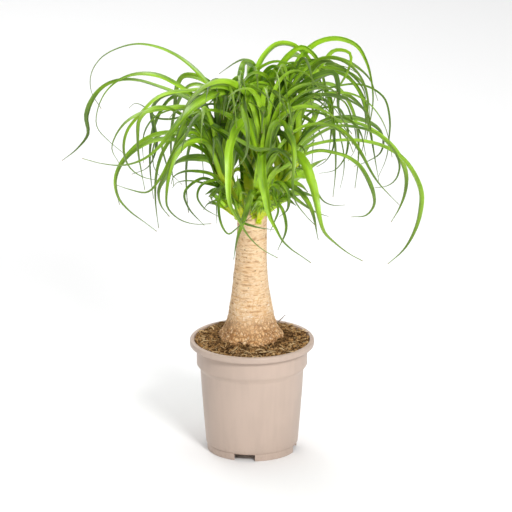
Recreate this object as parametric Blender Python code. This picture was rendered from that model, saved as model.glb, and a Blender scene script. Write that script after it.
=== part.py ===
"""Potted ponytail palm: a nursery pot filled with potting soil, a trunk with a swollen foot,
four shoots round the top of the trunk, and the long strap leaves that grow from them.

The origin is the middle of the pot's underside. +Z is up, +X is right, -Y is the plant's front.
"""

import itertools
import math

import bmesh
import bpy
from mathutils import Matrix, Vector
from mathutils.bvhtree import BVHTree

MM = 0.001
CM = 0.01

# Driving dimensions
POT_RADIUS = 85 * MM  # outside of the rim: a 17 cm nursery pot
POT_HEIGHT = 157.6 * MM
WALL = 1.6 * MM
FOOT_HEIGHT = 10 * MM
FOOT_RADIUS = 60.9 * MM
COLLAR_RADIUS = 75.5 * MM
COLLAR_BOTTOM = 122 * MM
RIM_BOTTOM = 149 * MM
NOTCH_WIDTH = 28.7 * MM
NOTCH_COUNT = 4
FIRST_NOTCH = -99.7  # degrees round the pot
DRAIN_RADIUS = 5 * MM
DRAIN_COUNT = 8
SOIL_AT_WALL = 155.8 * MM
SOIL_AT_TRUNK = 163 * MM
SOIL_RADIUS = 78 * MM
TRUNK_SHIFT = Vector((-2.5 * MM, 0, 0))  # the trunk stands a little left of the pot's axis
TRUNK_TOP = 340 * MM  # where its domed end begins
TRUNK_RADIUS = 20.2 * MM
TRUNK_LEAN = 1.8 * MM  # how far the neck bends back to the right
LEAN_BOTTOM = 250 * MM
LEAN_TOP = 300 * MM
GAP = 0.4 * MM  # between pieces that touch
LEAF_THICKNESS = 0.9 * MM
LEAF_CHANNEL = 0.12  # how far the margins rise above the midrib, as a share of the width
LEAF_RINGS = 14
LEAF_TIP_SHARE = 0.1  # width of the tip as a share of the leaf's width

POT_SIDES = 60
TRUNK_SIDES = 28
SHOOT_SIDES = 10
DRAIN_SIDES = 12

# Shoots: direction round the trunk (degrees), length (mm), lean from upright at the tip (degrees)
SHOOTS = {
    "left": (180, 85, 12),
    "right": (5, 95, 22),
    "front": (-65, 85, 10),
    "back": (95, 90, 14),
}
SHOOT_START_LEAN = 55  # degrees; also how far round the dome a shoot stands
SHOOT_BEND = 15 * MM  # the length over which a shoot turns upright
SHOOT_RADIUS = 7.5 * MM
SHOOT_TIP_RADIUS = 3 * MM
SHOOT_RINGS = (0, 0.08, 0.18, 0.32, 0.5, 0.75, 1)  # shares of its length, closest where it bends

# Moves that a leaf may make to find its way: round its shoot, along it, about its root, and back or forward
LEAF_SWINGS = range(0, 76, 15)  # degrees
LEAF_SLIDES = (0, -0.025, 0.025)  # shares of the shoot's length
LEAF_TURNS = range(0, 17, 2)  # degrees
LEAF_PUSHES = (0, -2 * CM, 2 * CM, -4 * CM, 4 * CM)

# Leaves that show from the front. Each row holds how far up its shoot the leaf grows (0 to 1),
# its width (mm), how much the blade turns to face the front (0 to 1), and its route (cm).
LEAVES = {
    "left": [
        (1.00, 8, 0.5, [(-2, -2, 51), (0, -2.5, 54), (2, -3, 56), (4.5, -3.5, 56.5), (7, -4, 54),
                        (8.5, -4.5, 49)]),
        (0.96, 7, 0.5, [(-5.5, 1, 51), (-10.5, 2, 56), (-16, 2.5, 57.5), (-21, 3, 55), (-22, 3, 51.5),
                        (-20.5, 3, 48.5)]),
        (0.90, 7, 0.7, [(-7, -1, 49.5), (-12.5, -2, 54), (-15.5, -2.5, 54.5), (-18.5, -3, 53.5),
                        (-20.5, -3.5, 51),
                        (-21, -4, 47.5), (-17.5, -4.5, 44)]),
        (0.84, 7, 0.8, [(-8, 2.5, 48.5), (-12, 4.5, 50), (-16.5, 7, 50.5), (-20, 9, 49), (-22.5, 10.5, 45),
                        (-22.5, 11, 41), (-26, 11.5, 37.5)]),
        (0.78, 8, 0.5, [(-5, 2, 50.5), (-7.5, 3, 52), (-9, 3.5, 52), (-10, 4, 50.5), (-10.5, 4.5, 47),
                        (-11, 5, 43)]),
        (0.72, 8, 0.6, [(-7.5, -4, 50), (-12.5, -6.5, 51), (-16.5, -9, 50.5), (-18.5, -10.5, 48.5),
                        (-19, -11.5, 47),
                        (-18, -12, 45)]),
        (0.68, 7, 0.7, [(-7, 4, 48.5), (-11.5, 7, 48), (-13.5, 9.5, 45), (-13, 11, 40), (-14, 12, 36),
                        (-16.5, 12.5, 34.5)]),
        (0.62, 9, 0.8, [(-6, -1.5, 49), (-9, -2.5, 48.5), (-10.5, -3, 45), (-11.5, -3.5, 42), (-13, -4, 39.5),
                        (-12.5, -4, 36.5), (-11.5, -4, 35.5)]),
        (0.56, 7, 0.7, [(-7.5, -5, 48), (-12, -8.5, 52), (-15, -10.5, 51.5), (-15.5, -12, 47.5),
                        (-14.5, -13, 41.5)]),
        (0.50, 7, 0.6, [(-6.5, 0, 43.5), (-10, 0.5, 45), (-13.5, 1, 44.5), (-16.5, 1.5, 42), (-18.5, 2, 38.5),
                        (-18, 2, 35), (-13, 2, 30.5)]),
        (0.44, 7, 0.6, [(-6.5, -1.5, 43), (-11.5, -2, 45), (-14.5, -2.5, 44.5), (-17.5, -3, 42),
                        (-18.5, -3, 39),
                        (-18, -3, 36)]),
        (0.37, 8, 0.8, [(-6, -4.5, 45.5), (-8.5, -7, 46.5), (-10.5, -9, 45), (-11.5, -10.5, 41.5),
                        (-11.5, -11.5, 38.5),
                        (-9, -12, 36.5), (-5.5, -12.5, 36.5)]),
        (0.31, 10, 0.6, [(-5.5, 2, 40.5), (-8, 3.5, 40.5), (-10, 5, 39.5), (-11, 7, 38)]),
        (0.25, 6, 0.5, [(-5, -4, 40), (-7, -5, 39.5), (-7.5, -5.5, 38), (-6.5, -6, 36.5),
                        (-4.5, -6.5, 35.5)]),
        (0.19, 6, 0.5, [(-6.5, 2, 38), (-9, 2.5, 36), (-8.5, 3, 33.5), (-6.5, 3, 31)]),
        (0.13, 6, 0.4, [(-4, -3.5, 38.5), (-4.5, -5, 36.5), (-4, -6, 34), (-3, -6.5, 33), (-2, -6.5, 34),
                        (0.5, -6.5, 36)]),
    ],
    "front": [
        (1.00, 9, 0.2, [(0, -5, 53), (-1, -9, 52), (-0.5, -13, 50.5), (-0.5, -15, 48.5), (-1, -16, 47),
                        (-2.5, -16.5, 45.5)]),
        (0.93, 10, 0.5, [(-1.5, -4, 52), (-5, -8, 53.5), (-8.5, -11, 52), (-11.5, -12.5, 48.5),
                         (-13.5, -13, 46.5),
                         (-17, -13, 45), (-21.5, -13, 45.5), (-23, -13, 46)]),
        (0.86, 10, 0.7, [(3.5, -4.5, 50.5), (5.5, -6.5, 53), (9.5, -10, 56.5), (11, -11, 57),
                         (11.5, -11.5, 56),
                         (11.5, -12, 53), (12, -12, 51), (13.5, -12, 48.5)]),
        (0.78, 10, 0.3, [(-0.5, -5, 48.5), (-2, -8, 48.5), (-3, -11, 46.5), (-3, -13, 43.5),
                         (-3, -14.5, 40.5),
                         (-2, -15, 38.5), (0.5, -15, 34.5), (3.5, -15, 32.5)]),
        (0.69, 10, 0.4, [(3, -7, 48.5), (4, -9, 49.5), (4.5, -11, 49.5), (5.5, -13, 48), (5.5, -15, 44.5),
                         (5.5, -15.5, 42), (6, -16, 40.5), (8.5, -16, 37.5)]),
        (0.60, 11, 0.3, [(1.5, -5, 42.5), (1.5, -8, 41), (2, -10.5, 39.5), (2.5, -12.5, 38), (3.5, -14, 36.5),
                         (4.5, -14.5, 35), (8, -15, 32.5)]),
        (0.50, 7, 0.6, [(5.5, -5, 42.5), (8.5, -6, 44.5), (11.5, -7, 44.5), (14, -7.5, 43.5), (16, -8, 40.5),
                        (16.5, -8, 38), (16, -8, 36.5), (13.5, -8, 36)]),
        (0.34, 6, 0.4, [(3, -3.5, 37), (4, -4, 35.5), (4.5, -4.5, 33), (3.5, -4.5, 30)]),
        (0.22, 7, 0.4, [(0, -5, 38.5), (-1, -5.5, 35.5), (-2, -5.5, 32.5), (-2.5, -5.5, 29)]),
    ],
    "right": [
        (1.00, 8, 0.5, [(1.5, -1, 51), (4, -1.5, 56), (6.5, -2, 58.5), (8.5, -2.5, 57.5), (10, -3, 53),
                        (10, -3, 48)]),
        (0.95, 8, 0.5, [(4.5, 0, 51), (7, 0, 57), (9.5, 0, 59), (12, 0, 59.3), (14.5, 0.5, 58), (16, 1, 54.5),
                        (16.5, 1, 50), (15.5, 1, 44.5)]),
        (0.90, 8, 0.6, [(7, -2.5, 52), (9.5, -3, 56), (11.5, -3.5, 58.5), (13, -3.5, 58.5), (13, -4, 56.5),
                        (11.5, -4.5, 53.5), (10.5, -5, 50)]),
        (0.85, 7, 0.5, [(4.5, -4.5, 50.5), (8, -6.5, 56.5), (11, -8.5, 58), (14, -10, 56.5),
                        (15.5, -11.5, 54),
                        (16, -12.5, 50)]),
        (0.80, 8, 0.7, [(6.5, 2, 49), (9, 3, 51.5), (10.5, 3, 50), (11, 3, 46.5), (10.5, 3, 41.5)]),
        (0.74, 6, 0.5, [(6, -1.5, 48.5), (9, -2, 51.5), (12, -2.5, 52.5), (15, -3, 52), (17.5, -3.5, 49.5),
                        (18.5, -4, 47), (19, -4, 44.5)]),
        (0.67, 6, 0.5, [(7.5, -1, 45.5), (10, -1.5, 47.5), (12.5, -2, 48), (14.5, -2.5, 46.5),
                        (15.5, -3, 43)]),
        (0.61, 6, 0.5, [(7, 2, 44.5), (11, 4.5, 46), (15, 7, 45), (17.5, 8.5, 43), (18, 9.5, 40),
                        (17, 10, 38.5),
                        (14, 10.5, 37)]),
        (0.55, 7, 0.6, [(7.5, 1, 44), (10.5, 1.5, 46), (14, 2, 46), (17.5, 2.5, 44), (20, 3, 41), (21, 3, 38),
                        (20.5, 3, 34.5), (19, 3, 31.5)]),
        (0.49, 7, 0.6, [(7, -3, 45), (10.5, -5, 48), (13, -6.5, 47), (15, -8, 44.5), (16.5, -9, 42),
                        (17.5, -10, 41),
                        (20, -10.5, 38.5)]),
        (0.43, 8, 0.6, [(7, -0.5, 43), (11, -1, 44.5), (15.5, -1, 44.5), (19.5, -1, 43), (22, -1, 40),
                        (23, -1, 37),
                        (22.5, -1, 33.5), (21, -1, 30), (18.5, -1, 27.5)]),
        (0.36, 11, 0.6, [(5.5, -4, 43.5), (7, -7, 43.5), (8, -10, 42), (8.5, -12, 40.5), (9, -13, 38),
                         (9.5, -13.5, 36),
                         (12.5, -13.5, 33), (15, -13.5, 31.5)]),
        (0.26, 7, 0.5, [(5, -3, 39), (6.5, -4, 38.5), (8, -5, 36.5), (9, -5.5, 32.5)]),
    ],
    "back": [
        (1.00, 8, 0.5, [(0.5, 2, 50), (1, 2.5, 54), (3, 3.5, 56.5), (5, 4.5, 56.5), (7, 5, 55),
                        (9, 6, 51.5), (10, 6, 47)]),
        (0.95, 6, 0.4, [(1, 3.5, 51), (0.5, 3, 54.5), (-1, 2.5, 55), (-4.5, 2, 52.5)]),
        (0.90, 9, 0.2, [(-1.5, 2, 49), (-1.5, 3, 53.5), (-1, 5, 55), (0, 9, 52), (1, 12, 46)]),
        (0.85, 8, 0.6, [(1.5, 3, 49.5), (5, 4, 53.5), (8.5, 5, 54), (12, 6, 52.5), (14.5, 6.5, 49.5),
                        (15.5, 7, 45),
                        (15, 7, 41)]),
    ],
}

# Leaves behind, which arch away from the back shoot: direction (degrees), reach and crown height (cm)
BACK_ARCHES = [
    (60, 17, 53),
    (128, 18, 48.5),
    (92, 21, 50),
    (40, 19, 49),
    (145, 17, 48),
    (75, 22, 50),
    (110, 20, 48),
    (160, 14, 44),
    (55, 20, 45),
    (85, 15, 43),
    (120, 18, 42),
]
BACK_ARCH_WIDTH = 8 * MM

COLOURS = {
    "pot": ((0.60, 0.50, 0.43), 0.45),
    "soil": ((0.10, 0.06, 0.03), 0.95),
    "trunk": ((0.62, 0.42, 0.24), 0.85),
    "shoot": ((0.45, 0.60, 0.12), 0.6),
    "leaf": ((0.20, 0.42, 0.04), 0.4),
}


def clear_scene():
    for thing in list(bpy.data.objects):
        bpy.data.objects.remove(thing)


def material(name):
    colour, roughness = COLOURS[name]
    found = bpy.data.materials.get(name)
    if found:
        return found
    made = bpy.data.materials.new(name)
    made.use_nodes = True
    shader = made.node_tree.nodes["Principled BSDF"]
    shader.inputs["Base Color"].default_value = (*colour, 1)
    shader.inputs["Roughness"].default_value = roughness
    return made


def add_object(name, bm, finish):
    """Puts the bmesh in the scene as one object, its normals out and its round faces shaded smooth."""
    bmesh.ops.recalc_face_normals(bm, faces=bm.faces)
    mesh = bpy.data.meshes.new(name)
    bm.to_mesh(mesh)
    bm.free()
    mesh.shade_smooth()
    mesh.set_sharp_from_angle(angle=math.radians(35))
    mesh.materials.append(material(finish))
    made = bpy.data.objects.new(name, mesh)
    bpy.context.scene.collection.objects.link(made)
    return made


def as_cutter(target, cutter):
    """Cuts the cutter out of the target and keeps it out of the render."""
    cutter.hide_render = True
    cutter.display_type = "WIRE"
    cut = target.modifiers.new("cut", "BOOLEAN")
    cut.operation = "DIFFERENCE"
    cut.solver = "EXACT"
    cut.object = cutter


def turned(profile, sides):
    """A solid of revolution about Z from an outline whose two ends lie on the axis."""
    bm = bmesh.new()
    points = [bm.verts.new((radius, 0, height)) for radius, height in profile]
    edges = [bm.edges.new(pair) for pair in zip(points, points[1:])]
    bmesh.ops.spin(
        bm, geom=points + edges, axis=(0, 0, 1), cent=(0, 0, 0), steps=sides, angle=math.tau, use_merge=True
    )
    bmesh.ops.remove_doubles(bm, verts=bm.verts, dist=0.01 * MM)
    return bm


def pot_outside():
    """The pot's outer outline, from the middle of its underside to the top of its rim."""
    channel_roof = FOOT_HEIGHT
    return [
        (0, 0),
        (36 * MM, 0),
        (40 * MM, channel_roof),
        (58.6 * MM, channel_roof),
        (58.9 * MM, 0),
        (FOOT_RADIUS, 0),
        (FOOT_RADIUS + 0.6 * MM, FOOT_HEIGHT),
        (FOOT_RADIUS + 1.7 * MM, FOOT_HEIGHT + 0.6 * MM),
        (COLLAR_RADIUS - 4.6 * MM, COLLAR_BOTTOM - 6.5 * MM),
        (COLLAR_RADIUS - 0.9 * MM, COLLAR_BOTTOM - 0.7 * MM),
        (COLLAR_RADIUS, COLLAR_BOTTOM),
        (COLLAR_RADIUS + 0.3 * MM, RIM_BOTTOM),
        (POT_RADIUS - 1.4 * MM, RIM_BOTTOM + 0.2 * MM),
        (POT_RADIUS - 0.2 * MM, RIM_BOTTOM + 1.4 * MM),
        (POT_RADIUS, POT_HEIGHT - 2 * MM),
        (POT_RADIUS - 0.5 * MM, POT_HEIGHT - 0.7 * MM),
        (POT_RADIUS - 1.7 * MM, POT_HEIGHT),
    ]


def pot_inside():
    """The pot's inner outline, from the top of its rim to the middle of its floor."""
    floor = FOOT_HEIGHT + WALL
    return [
        (POT_RADIUS - 5.2 * MM, POT_HEIGHT),
        (POT_RADIUS - 6.2 * MM, POT_HEIGHT - 0.8 * MM),
        (COLLAR_RADIUS + 1.3 * MM, RIM_BOTTOM + 2 * MM),
        (COLLAR_RADIUS - WALL, RIM_BOTTOM),
        (COLLAR_RADIUS - WALL, COLLAR_BOTTOM + 0.8 * MM),
        (COLLAR_RADIUS - 2.4 * MM, COLLAR_BOTTOM),
        (COLLAR_RADIUS - 6.5 * MM, COLLAR_BOTTOM - 6 * MM),
        (FOOT_RADIUS + 0.2 * MM, floor + 0.6 * MM),
        (FOOT_RADIUS - 0.6 * MM, floor),
        (39 * MM, floor),
        (35 * MM, WALL),
        (0, WALL),
    ]


def make_pot():
    pot = add_object("pot", turned(pot_outside() + pot_inside(), POT_SIDES), "pot")
    openings = bmesh.new()
    notch_height = FOOT_HEIGHT - 0.6 * MM
    for number in range(NOTCH_COUNT):
        turn = Matrix.Rotation(math.radians(FIRST_NOTCH + 360 / NOTCH_COUNT * number), 4, "Z")
        size = Matrix.Diagonal((10 * MM, NOTCH_WIDTH, 2 * notch_height, 1))
        place = turn @ Matrix.Translation((FOOT_RADIUS, 0, 0)) @ size
        bmesh.ops.create_cube(openings, size=1, matrix=place)
    for number in range(DRAIN_COUNT):
        turn = Matrix.Rotation(math.radians(FIRST_NOTCH + 360 / DRAIN_COUNT * number), 4, "Z")
        place = turn @ Matrix.Translation((49 * MM, 0, FOOT_HEIGHT + WALL / 2))
        bmesh.ops.create_cone(
            openings,
            segments=DRAIN_SIDES,
            radius1=DRAIN_RADIUS,
            radius2=DRAIN_RADIUS,
            depth=3 * WALL,
            matrix=place,
            cap_ends=True,
        )
    as_cutter(pot, add_object("pot_openings", openings, "pot"))


def trunk_profile():
    """(radius, height) up the trunk: a buried foot, the flare above the soil, a neck and a domed end."""
    foot = [(0, 134), (30, 134.5), (43, 138), (49, 144), (50, 152)]
    flare = [(45.2, 162), (37.9, 172.5), (33.3, 183.5), (31, 195)]
    flare += [(29.2, 207), (27.2, 218), (25, 232), (23.6, 247)]
    neck = [(22.9, 255), (22, 265), (21, 285), (20.4, 315)]
    outline = [(radius * MM, height * MM) for radius, height in foot + flare + neck]
    for angle in (0, 22, 45, 68):
        out, up = math.cos(math.radians(angle)), math.sin(math.radians(angle))
        outline.append((TRUNK_RADIUS * out, TRUNK_TOP + TRUNK_RADIUS * up))
    return outline + [(0, TRUNK_TOP + TRUNK_RADIUS)]


def trunk_shape(spare):
    """The trunk, made larger all round by spare. Its foot is drawn into soft lobes."""
    outline = trunk_profile()
    bottom = (0, outline[0][1] - spare)
    wall = [(radius + spare, height) for radius, height in outline[1:-1]]
    bm = turned([bottom] + wall + [outline[-1]], TRUNK_SIDES)
    lobes_end = 230 * MM
    for point in bm.verts:
        around = math.atan2(point.co.y, point.co.x)
        low = max(0, (lobes_end - point.co.z) / lobes_end)
        swell = 1 + 0.09 * low * math.sin(5 * around + 0.8) + 0.012 * math.sin(3 * around + 40 * point.co.z)
        point.co.x *= swell
        point.co.y *= swell
        leaned = (point.co.z - LEAN_BOTTOM) / (LEAN_TOP - LEAN_BOTTOM)
        point.co.x += TRUNK_LEAN * min(1, max(0, leaned))
    bmesh.ops.translate(bm, vec=TRUNK_SHIFT, verts=bm.verts)
    return bm


def make_trunk():
    return add_object("trunk", trunk_shape(0), "trunk")


def make_soil():
    """The root ball fills the pot to a low mound round the trunk, and has the trunk's foot cut out of it."""
    wall = [(radius - GAP, height) for radius, height in pot_inside() if height < RIM_BOTTOM + 3 * MM]
    side, floor = wall[:-4], wall[-4:]
    floor = [(max(0, radius), height + GAP) for radius, height in floor]
    top = [
        (0, SOIL_AT_TRUNK),
        (46 * MM, SOIL_AT_TRUNK),
        (56 * MM, SOIL_AT_TRUNK - 1.5 * MM),
        (66 * MM, SOIL_AT_WALL + 2.2 * MM),
        (SOIL_RADIUS, SOIL_AT_WALL),
    ]
    soil = add_object("soil", turned(top + side + floor, POT_SIDES // 2), "soil")
    as_cutter(soil, add_object("trunk_pocket", trunk_shape(GAP), "soil"))


def shoot_line(shoot, share):
    """(point, direction) at this share of a shoot's length, from its foot on the trunk's dome."""
    around, length, lean_at_tip = SHOOTS[shoot]
    outward = Vector((math.cos(math.radians(around)), math.sin(math.radians(around)), 0))
    start = math.radians(SHOOT_START_LEAN)
    foot = outward * math.sin(start) + Vector((0, 0, math.cos(start)))
    point = TRUNK_SHIFT + Vector((TRUNK_LEAN, 0, TRUNK_TOP)) + foot * (TRUNK_RADIUS + 2 * GAP)
    direction = foot
    steps = 40
    step = length * MM / steps
    for number in range(round(share * steps)):
        lean = lean_at_tip + (SHOOT_START_LEAN - lean_at_tip) * math.exp(-number * step / SHOOT_BEND)
        direction = outward * math.sin(math.radians(lean)) + Vector((0, 0, math.cos(math.radians(lean))))
        point = point + direction * step
    return point, direction


def shoot_radius(share):
    return SHOOT_RADIUS + (SHOOT_TIP_RADIUS - SHOOT_RADIUS) * share


def skin(bm, rings):
    """Joins rings of equal numbers of points into a tube with closed ends."""
    for near, far in zip(rings, rings[1:]):
        for number, point in enumerate(near):
            after = (number + 1) % len(near)
            bm.faces.new((point, near[after], far[after], far[number]))
    bm.faces.new(rings[0])
    bm.faces.new(rings[-1])


def split_evenly(bm, rings):
    """Splits the strap's faces from its margins to its midrib, so that its two sides stay parallel in a twist."""
    for near, far in zip(rings, rings[1:]):
        for margin in (0, 2):
            for midrib in (1, 3):
                bmesh.utils.face_split(bm.faces.get((near[margin], far[margin], far[midrib], near[midrib])),
                                       near[margin], far[midrib])


def make_shoot(shoot):
    bm = bmesh.new()
    around = math.radians(SHOOTS[shoot][0])
    rings = []
    for share in SHOOT_RINGS:
        point, direction = shoot_line(shoot, share)
        across = Vector((-math.sin(around), math.cos(around), 0))
        other = direction.cross(across)
        angles = [math.tau * number / SHOOT_SIDES for number in range(SHOOT_SIDES)]
        rings.append(
            [bm.verts.new(point + shoot_radius(share) * (across * math.cos(a) + other * math.sin(a))) for a in angles]
        )
    skin(bm, rings)
    return add_object(f"{shoot}_shoot", bm, "shoot")


def smooth_route(points, count):
    """This many points at even steps along a centripetal Catmull-Rom curve through the route's points."""
    ends = [points[0] * 2 - points[1]] + points + [points[-1] * 2 - points[-2]]
    fine = []
    for a, b, c, d in zip(ends, ends[1:], ends[2:], ends[3:]):
        first, middle, last = ((q - p).length ** 0.5 for p, q in ((a, b), (b, c), (c, d)))
        start = ((b - a) / first - (c - a) / (first + middle) + (c - b) / middle) * middle
        finish = ((c - b) / middle - (d - b) / (middle + last) + (d - c) / last) * middle
        for number in range(12):
            t = number / 12
            fine.append(
                b * (2 * t**3 - 3 * t**2 + 1) + start * (t**3 - 2 * t**2 + t)
                + c * (3 * t**2 - 2 * t**3) + finish * (t**3 - t**2)
            )
    fine.append(points[-1])
    walked = [0]
    for near, far in zip(fine, fine[1:]):
        walked.append(walked[-1] + (far - near).length)
    found = []
    span = 0
    for number in range(count):
        wanted = walked[-1] * number / (count - 1)
        while span < len(fine) - 2 and walked[span + 1] < wanted:
            span += 1
        share = (wanted - walked[span]) / (walked[span + 1] - walked[span])
        found.append(fine[span].lerp(fine[span + 1], min(1, share)))
    return found


def leaf_root(shoot, share, target, swing):
    """The two points where a leaf leaves its shoot: on the skin, then further up and out.

    It leaves on the side nearest to its target, swung round the shoot by this many degrees. Low leaves lean out most.
    """
    point, direction = shoot_line(shoot, share)
    out = target - point
    out = (out - direction * out.dot(direction)).normalized()
    out = Matrix.Rotation(math.radians(swing), 3, direction) @ out
    skin_distance = shoot_radius(share) + 1.3 * MM
    lean_out = 2.5 * MM + (1 - share) * 7 * MM
    return [point + out * skin_distance, point + out * (skin_distance + lean_out) + direction * 14 * MM]


def leaf_width(share, width):
    """The blade's width: narrow where it clasps the shoot, then full, then drawn out to a long tip."""
    blade = LEAF_TIP_SHARE + (1 - LEAF_TIP_SHARE) * (1 - share**2.4)
    return width * blade * min(1, 0.5 + 3 * share)


def leaf_shape(route, width, facing, spare=0):
    """A channelled strap along the route. Its upper side starts uppermost and turns to face the front."""
    count = LEAF_RINGS
    line = smooth_route(route, count)
    front = Vector((0, -1, 0.25)).normalized()
    bm = bmesh.new()
    rings = []
    upper = Vector((0, 0, 1))
    for number, point in enumerate(line):
        share = number / (count - 1)
        along = (line[min(number + 1, count - 1)] - line[max(number - 1, 0)]).normalized()
        upper = (upper - along * upper.dot(along)).normalized()
        turned_up = upper * (1 - facing * share) + front * facing * share
        normal = (turned_up - along * turned_up.dot(along)).normalized()
        side = along.cross(normal)
        half = leaf_width(share, width) / 2 + spare
        thick = LEAF_THICKNESS * (0.6 + 0.4 * (1 - share)) / 2 + spare
        rise = LEAF_CHANNEL * 2 * half
        corners = (side * half + normal * rise, normal * thick, side * -half + normal * rise, normal * -thick)
        rings.append([bm.verts.new(point + corner) for corner in corners])
    skin(bm, rings)
    split_evenly(bm, rings)
    return bm


def moved_route(route, degrees, push):
    """The route turned about the upright line through its first point, with its outer end pushed back."""
    spin = Matrix.Rotation(math.radians(degrees), 3, "Z")
    turned_points = [route[0] + spin @ (point - route[0]) for point in route]
    last = len(route) - 1
    return [point + Vector((0, push * number / last, 0)) for number, point in enumerate(turned_points)]


def tree_of(thing):
    graph = bpy.context.evaluated_depsgraph_get()
    mesh = thing.evaluated_get(graph).to_mesh()
    return BVHTree.FromPolygons([v.co for v in mesh.vertices], [p.vertices for p in mesh.polygons])


def move_cost(move):
    """How much a move disturbs a leaf: 1 for a turn of one degree, a push of 1 cm or a swing of 8 degrees."""
    swing, slide, turn, push = move
    return abs(swing) / 8 + abs(slide) * 100 + abs(turn) + abs(push) / (1 * CM)


def grow_leaf(name, shoot, share, width, facing, points, grown):
    """Adds one leaf, moved just enough to clear all that has grown.

    It may be swung round its shoot, slid along it, turned about its root, or pushed back or forward at its outer end.
    Each move has its cost, and the cheapest way that is clear is taken.
    """
    swings = [sign * size for size in LEAF_SWINGS for sign in (1, -1)]
    turns = [sign * size for size in LEAF_TURNS for sign in (1, -1)]
    moves = itertools.product(swings, LEAF_SLIDES, turns, LEAF_PUSHES)
    for swing, slide, turn, push in sorted(moves, key=move_cost):
        place = min(1, share + slide)
        route = moved_route(leaf_root(shoot, place, points[0], swing) + points, turn, push)
        ghost = leaf_shape(route, width, facing, spare=GAP)
        tree = BVHTree.FromBMesh(ghost)
        ghost.free()
        if not any(tree.overlap(other) for other in grown):
            leaf = add_object(name, leaf_shape(route, width, facing), "leaf")
            grown.append(tree_of(leaf))
            return
    raise RuntimeError(f"{name} finds no clear way through the other leaves")


def back_arch(degrees, reach, height):
    """The route of a leaf that arches away behind and hangs down."""
    outward = Vector((math.cos(math.radians(degrees)), math.sin(math.radians(degrees)), 0))
    heart = Vector((0, 3 * CM, 0))
    steps = ((0.25, 0.82), (0.5, 0.98), (0.75, 0.98), (0.95, 0.88), (1.0, 0.76), (0.97, 0.66))
    return [heart + outward * reach * CM * out + Vector((0, 0, height * CM * up)) for out, up in steps]


def grow_crown():
    """All the leaves, highest first on each shoot, kept clear of each other and of what holds them."""
    bpy.context.view_layer.update()
    grown = [tree_of(bpy.data.objects[f"{shoot}_shoot"]) for shoot in SHOOTS]
    grown += [tree_of(bpy.data.objects[name]) for name in ("trunk", "soil", "pot")]
    for shoot, rows in LEAVES.items():
        for number, (share, width, facing, points) in enumerate(rows, 1):
            route = [Vector(point) * CM for point in points]
            grow_leaf(f"{shoot}_leaf_{number:02d}", shoot, share, width * MM, facing, route, grown)
    first = len(LEAVES["back"]) + 1
    for number, (degrees, reach, height) in enumerate(BACK_ARCHES):
        share = 0.8 - 0.06 * number
        route = back_arch(degrees, reach, height)
        grow_leaf(f"back_leaf_{first + number:02d}", "back", share, BACK_ARCH_WIDTH, 0, route, grown)


def main():
    clear_scene()
    make_pot()
    make_trunk()
    make_soil()
    for shoot in SHOOTS:
        make_shoot(shoot)
    grow_crown()


main()
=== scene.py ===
"""The looks of a potted ponytail palm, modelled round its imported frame.

Every piece is in metres, with +Z up and the plant's front towards -Y. The pot, the soil, the trunk, the
shoots and the leaves each have an operator, and so has the stage.
"""

import math
import random

import bmesh
import bpy
from mathutils import Matrix, Vector, noise


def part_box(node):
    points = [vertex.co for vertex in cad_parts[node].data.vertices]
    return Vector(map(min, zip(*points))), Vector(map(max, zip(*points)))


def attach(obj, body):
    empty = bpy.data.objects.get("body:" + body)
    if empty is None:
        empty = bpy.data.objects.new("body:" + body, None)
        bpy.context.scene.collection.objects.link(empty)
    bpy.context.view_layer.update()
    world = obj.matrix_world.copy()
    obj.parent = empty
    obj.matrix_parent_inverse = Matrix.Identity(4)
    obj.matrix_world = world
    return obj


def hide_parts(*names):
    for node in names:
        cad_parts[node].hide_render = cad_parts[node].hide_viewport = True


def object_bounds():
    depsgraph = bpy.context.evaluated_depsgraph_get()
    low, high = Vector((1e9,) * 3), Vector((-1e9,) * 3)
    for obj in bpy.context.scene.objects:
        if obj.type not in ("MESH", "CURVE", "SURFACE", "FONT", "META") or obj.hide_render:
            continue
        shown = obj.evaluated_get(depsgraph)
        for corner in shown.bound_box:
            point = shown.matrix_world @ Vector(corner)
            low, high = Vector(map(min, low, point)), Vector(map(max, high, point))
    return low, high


bl_info = {
    "name": "Potted Ponytail Palm",
    "version": (1, 0, 0),
    "blender": (4, 5, 0),
    "location": "3D View > Sidebar > Palm",
    "description": "Builds a ponytail palm in a nursery pot round its packed frame",
    "category": "Object",
}

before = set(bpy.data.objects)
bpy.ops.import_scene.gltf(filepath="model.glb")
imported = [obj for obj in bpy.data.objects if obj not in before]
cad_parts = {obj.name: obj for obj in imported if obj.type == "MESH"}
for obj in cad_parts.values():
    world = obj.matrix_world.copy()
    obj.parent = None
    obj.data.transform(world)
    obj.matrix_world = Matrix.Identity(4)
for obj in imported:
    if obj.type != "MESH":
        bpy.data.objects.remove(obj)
CAD_BOX = [list(corner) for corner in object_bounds()]

MM = 0.001
CM = 0.01
UP = Vector((0, 0, 1))
GOLDEN_ANGLE = 2.39996

# -----------------------------------------------------------------------------
# Sizes and colours


def length(name, description, default):
    return bpy.props.FloatProperty(name=name, description=description, default=default, unit="LENGTH")


def tint(name, description, default):
    return bpy.props.FloatVectorProperty(
        name=name, description=description, default=default, subtype="COLOR", size=3
    )


def count(name, description, default, least=0):
    return bpy.props.IntProperty(name=name, description=description, default=default, min=least)


def strength(name, description, default):
    return bpy.props.FloatProperty(name=name, description=description, default=default, min=0)


class PotSettings(bpy.types.PropertyGroup):
    """The nursery pot."""

    sides: count("Sides", "Steps round the pot", 180, least=24)
    foot_height: length("Foot height", "Height of the foot ring", 10 * MM)
    collar_bottom: length("Collar height", "Height of the collar's lower edge", 122 * MM)
    wall: length("Wall", "Wall thickness", 1.6 * MM)
    colour: tint("Colour", "Colour of the plastic", (0.555, 0.433, 0.358))


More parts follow.
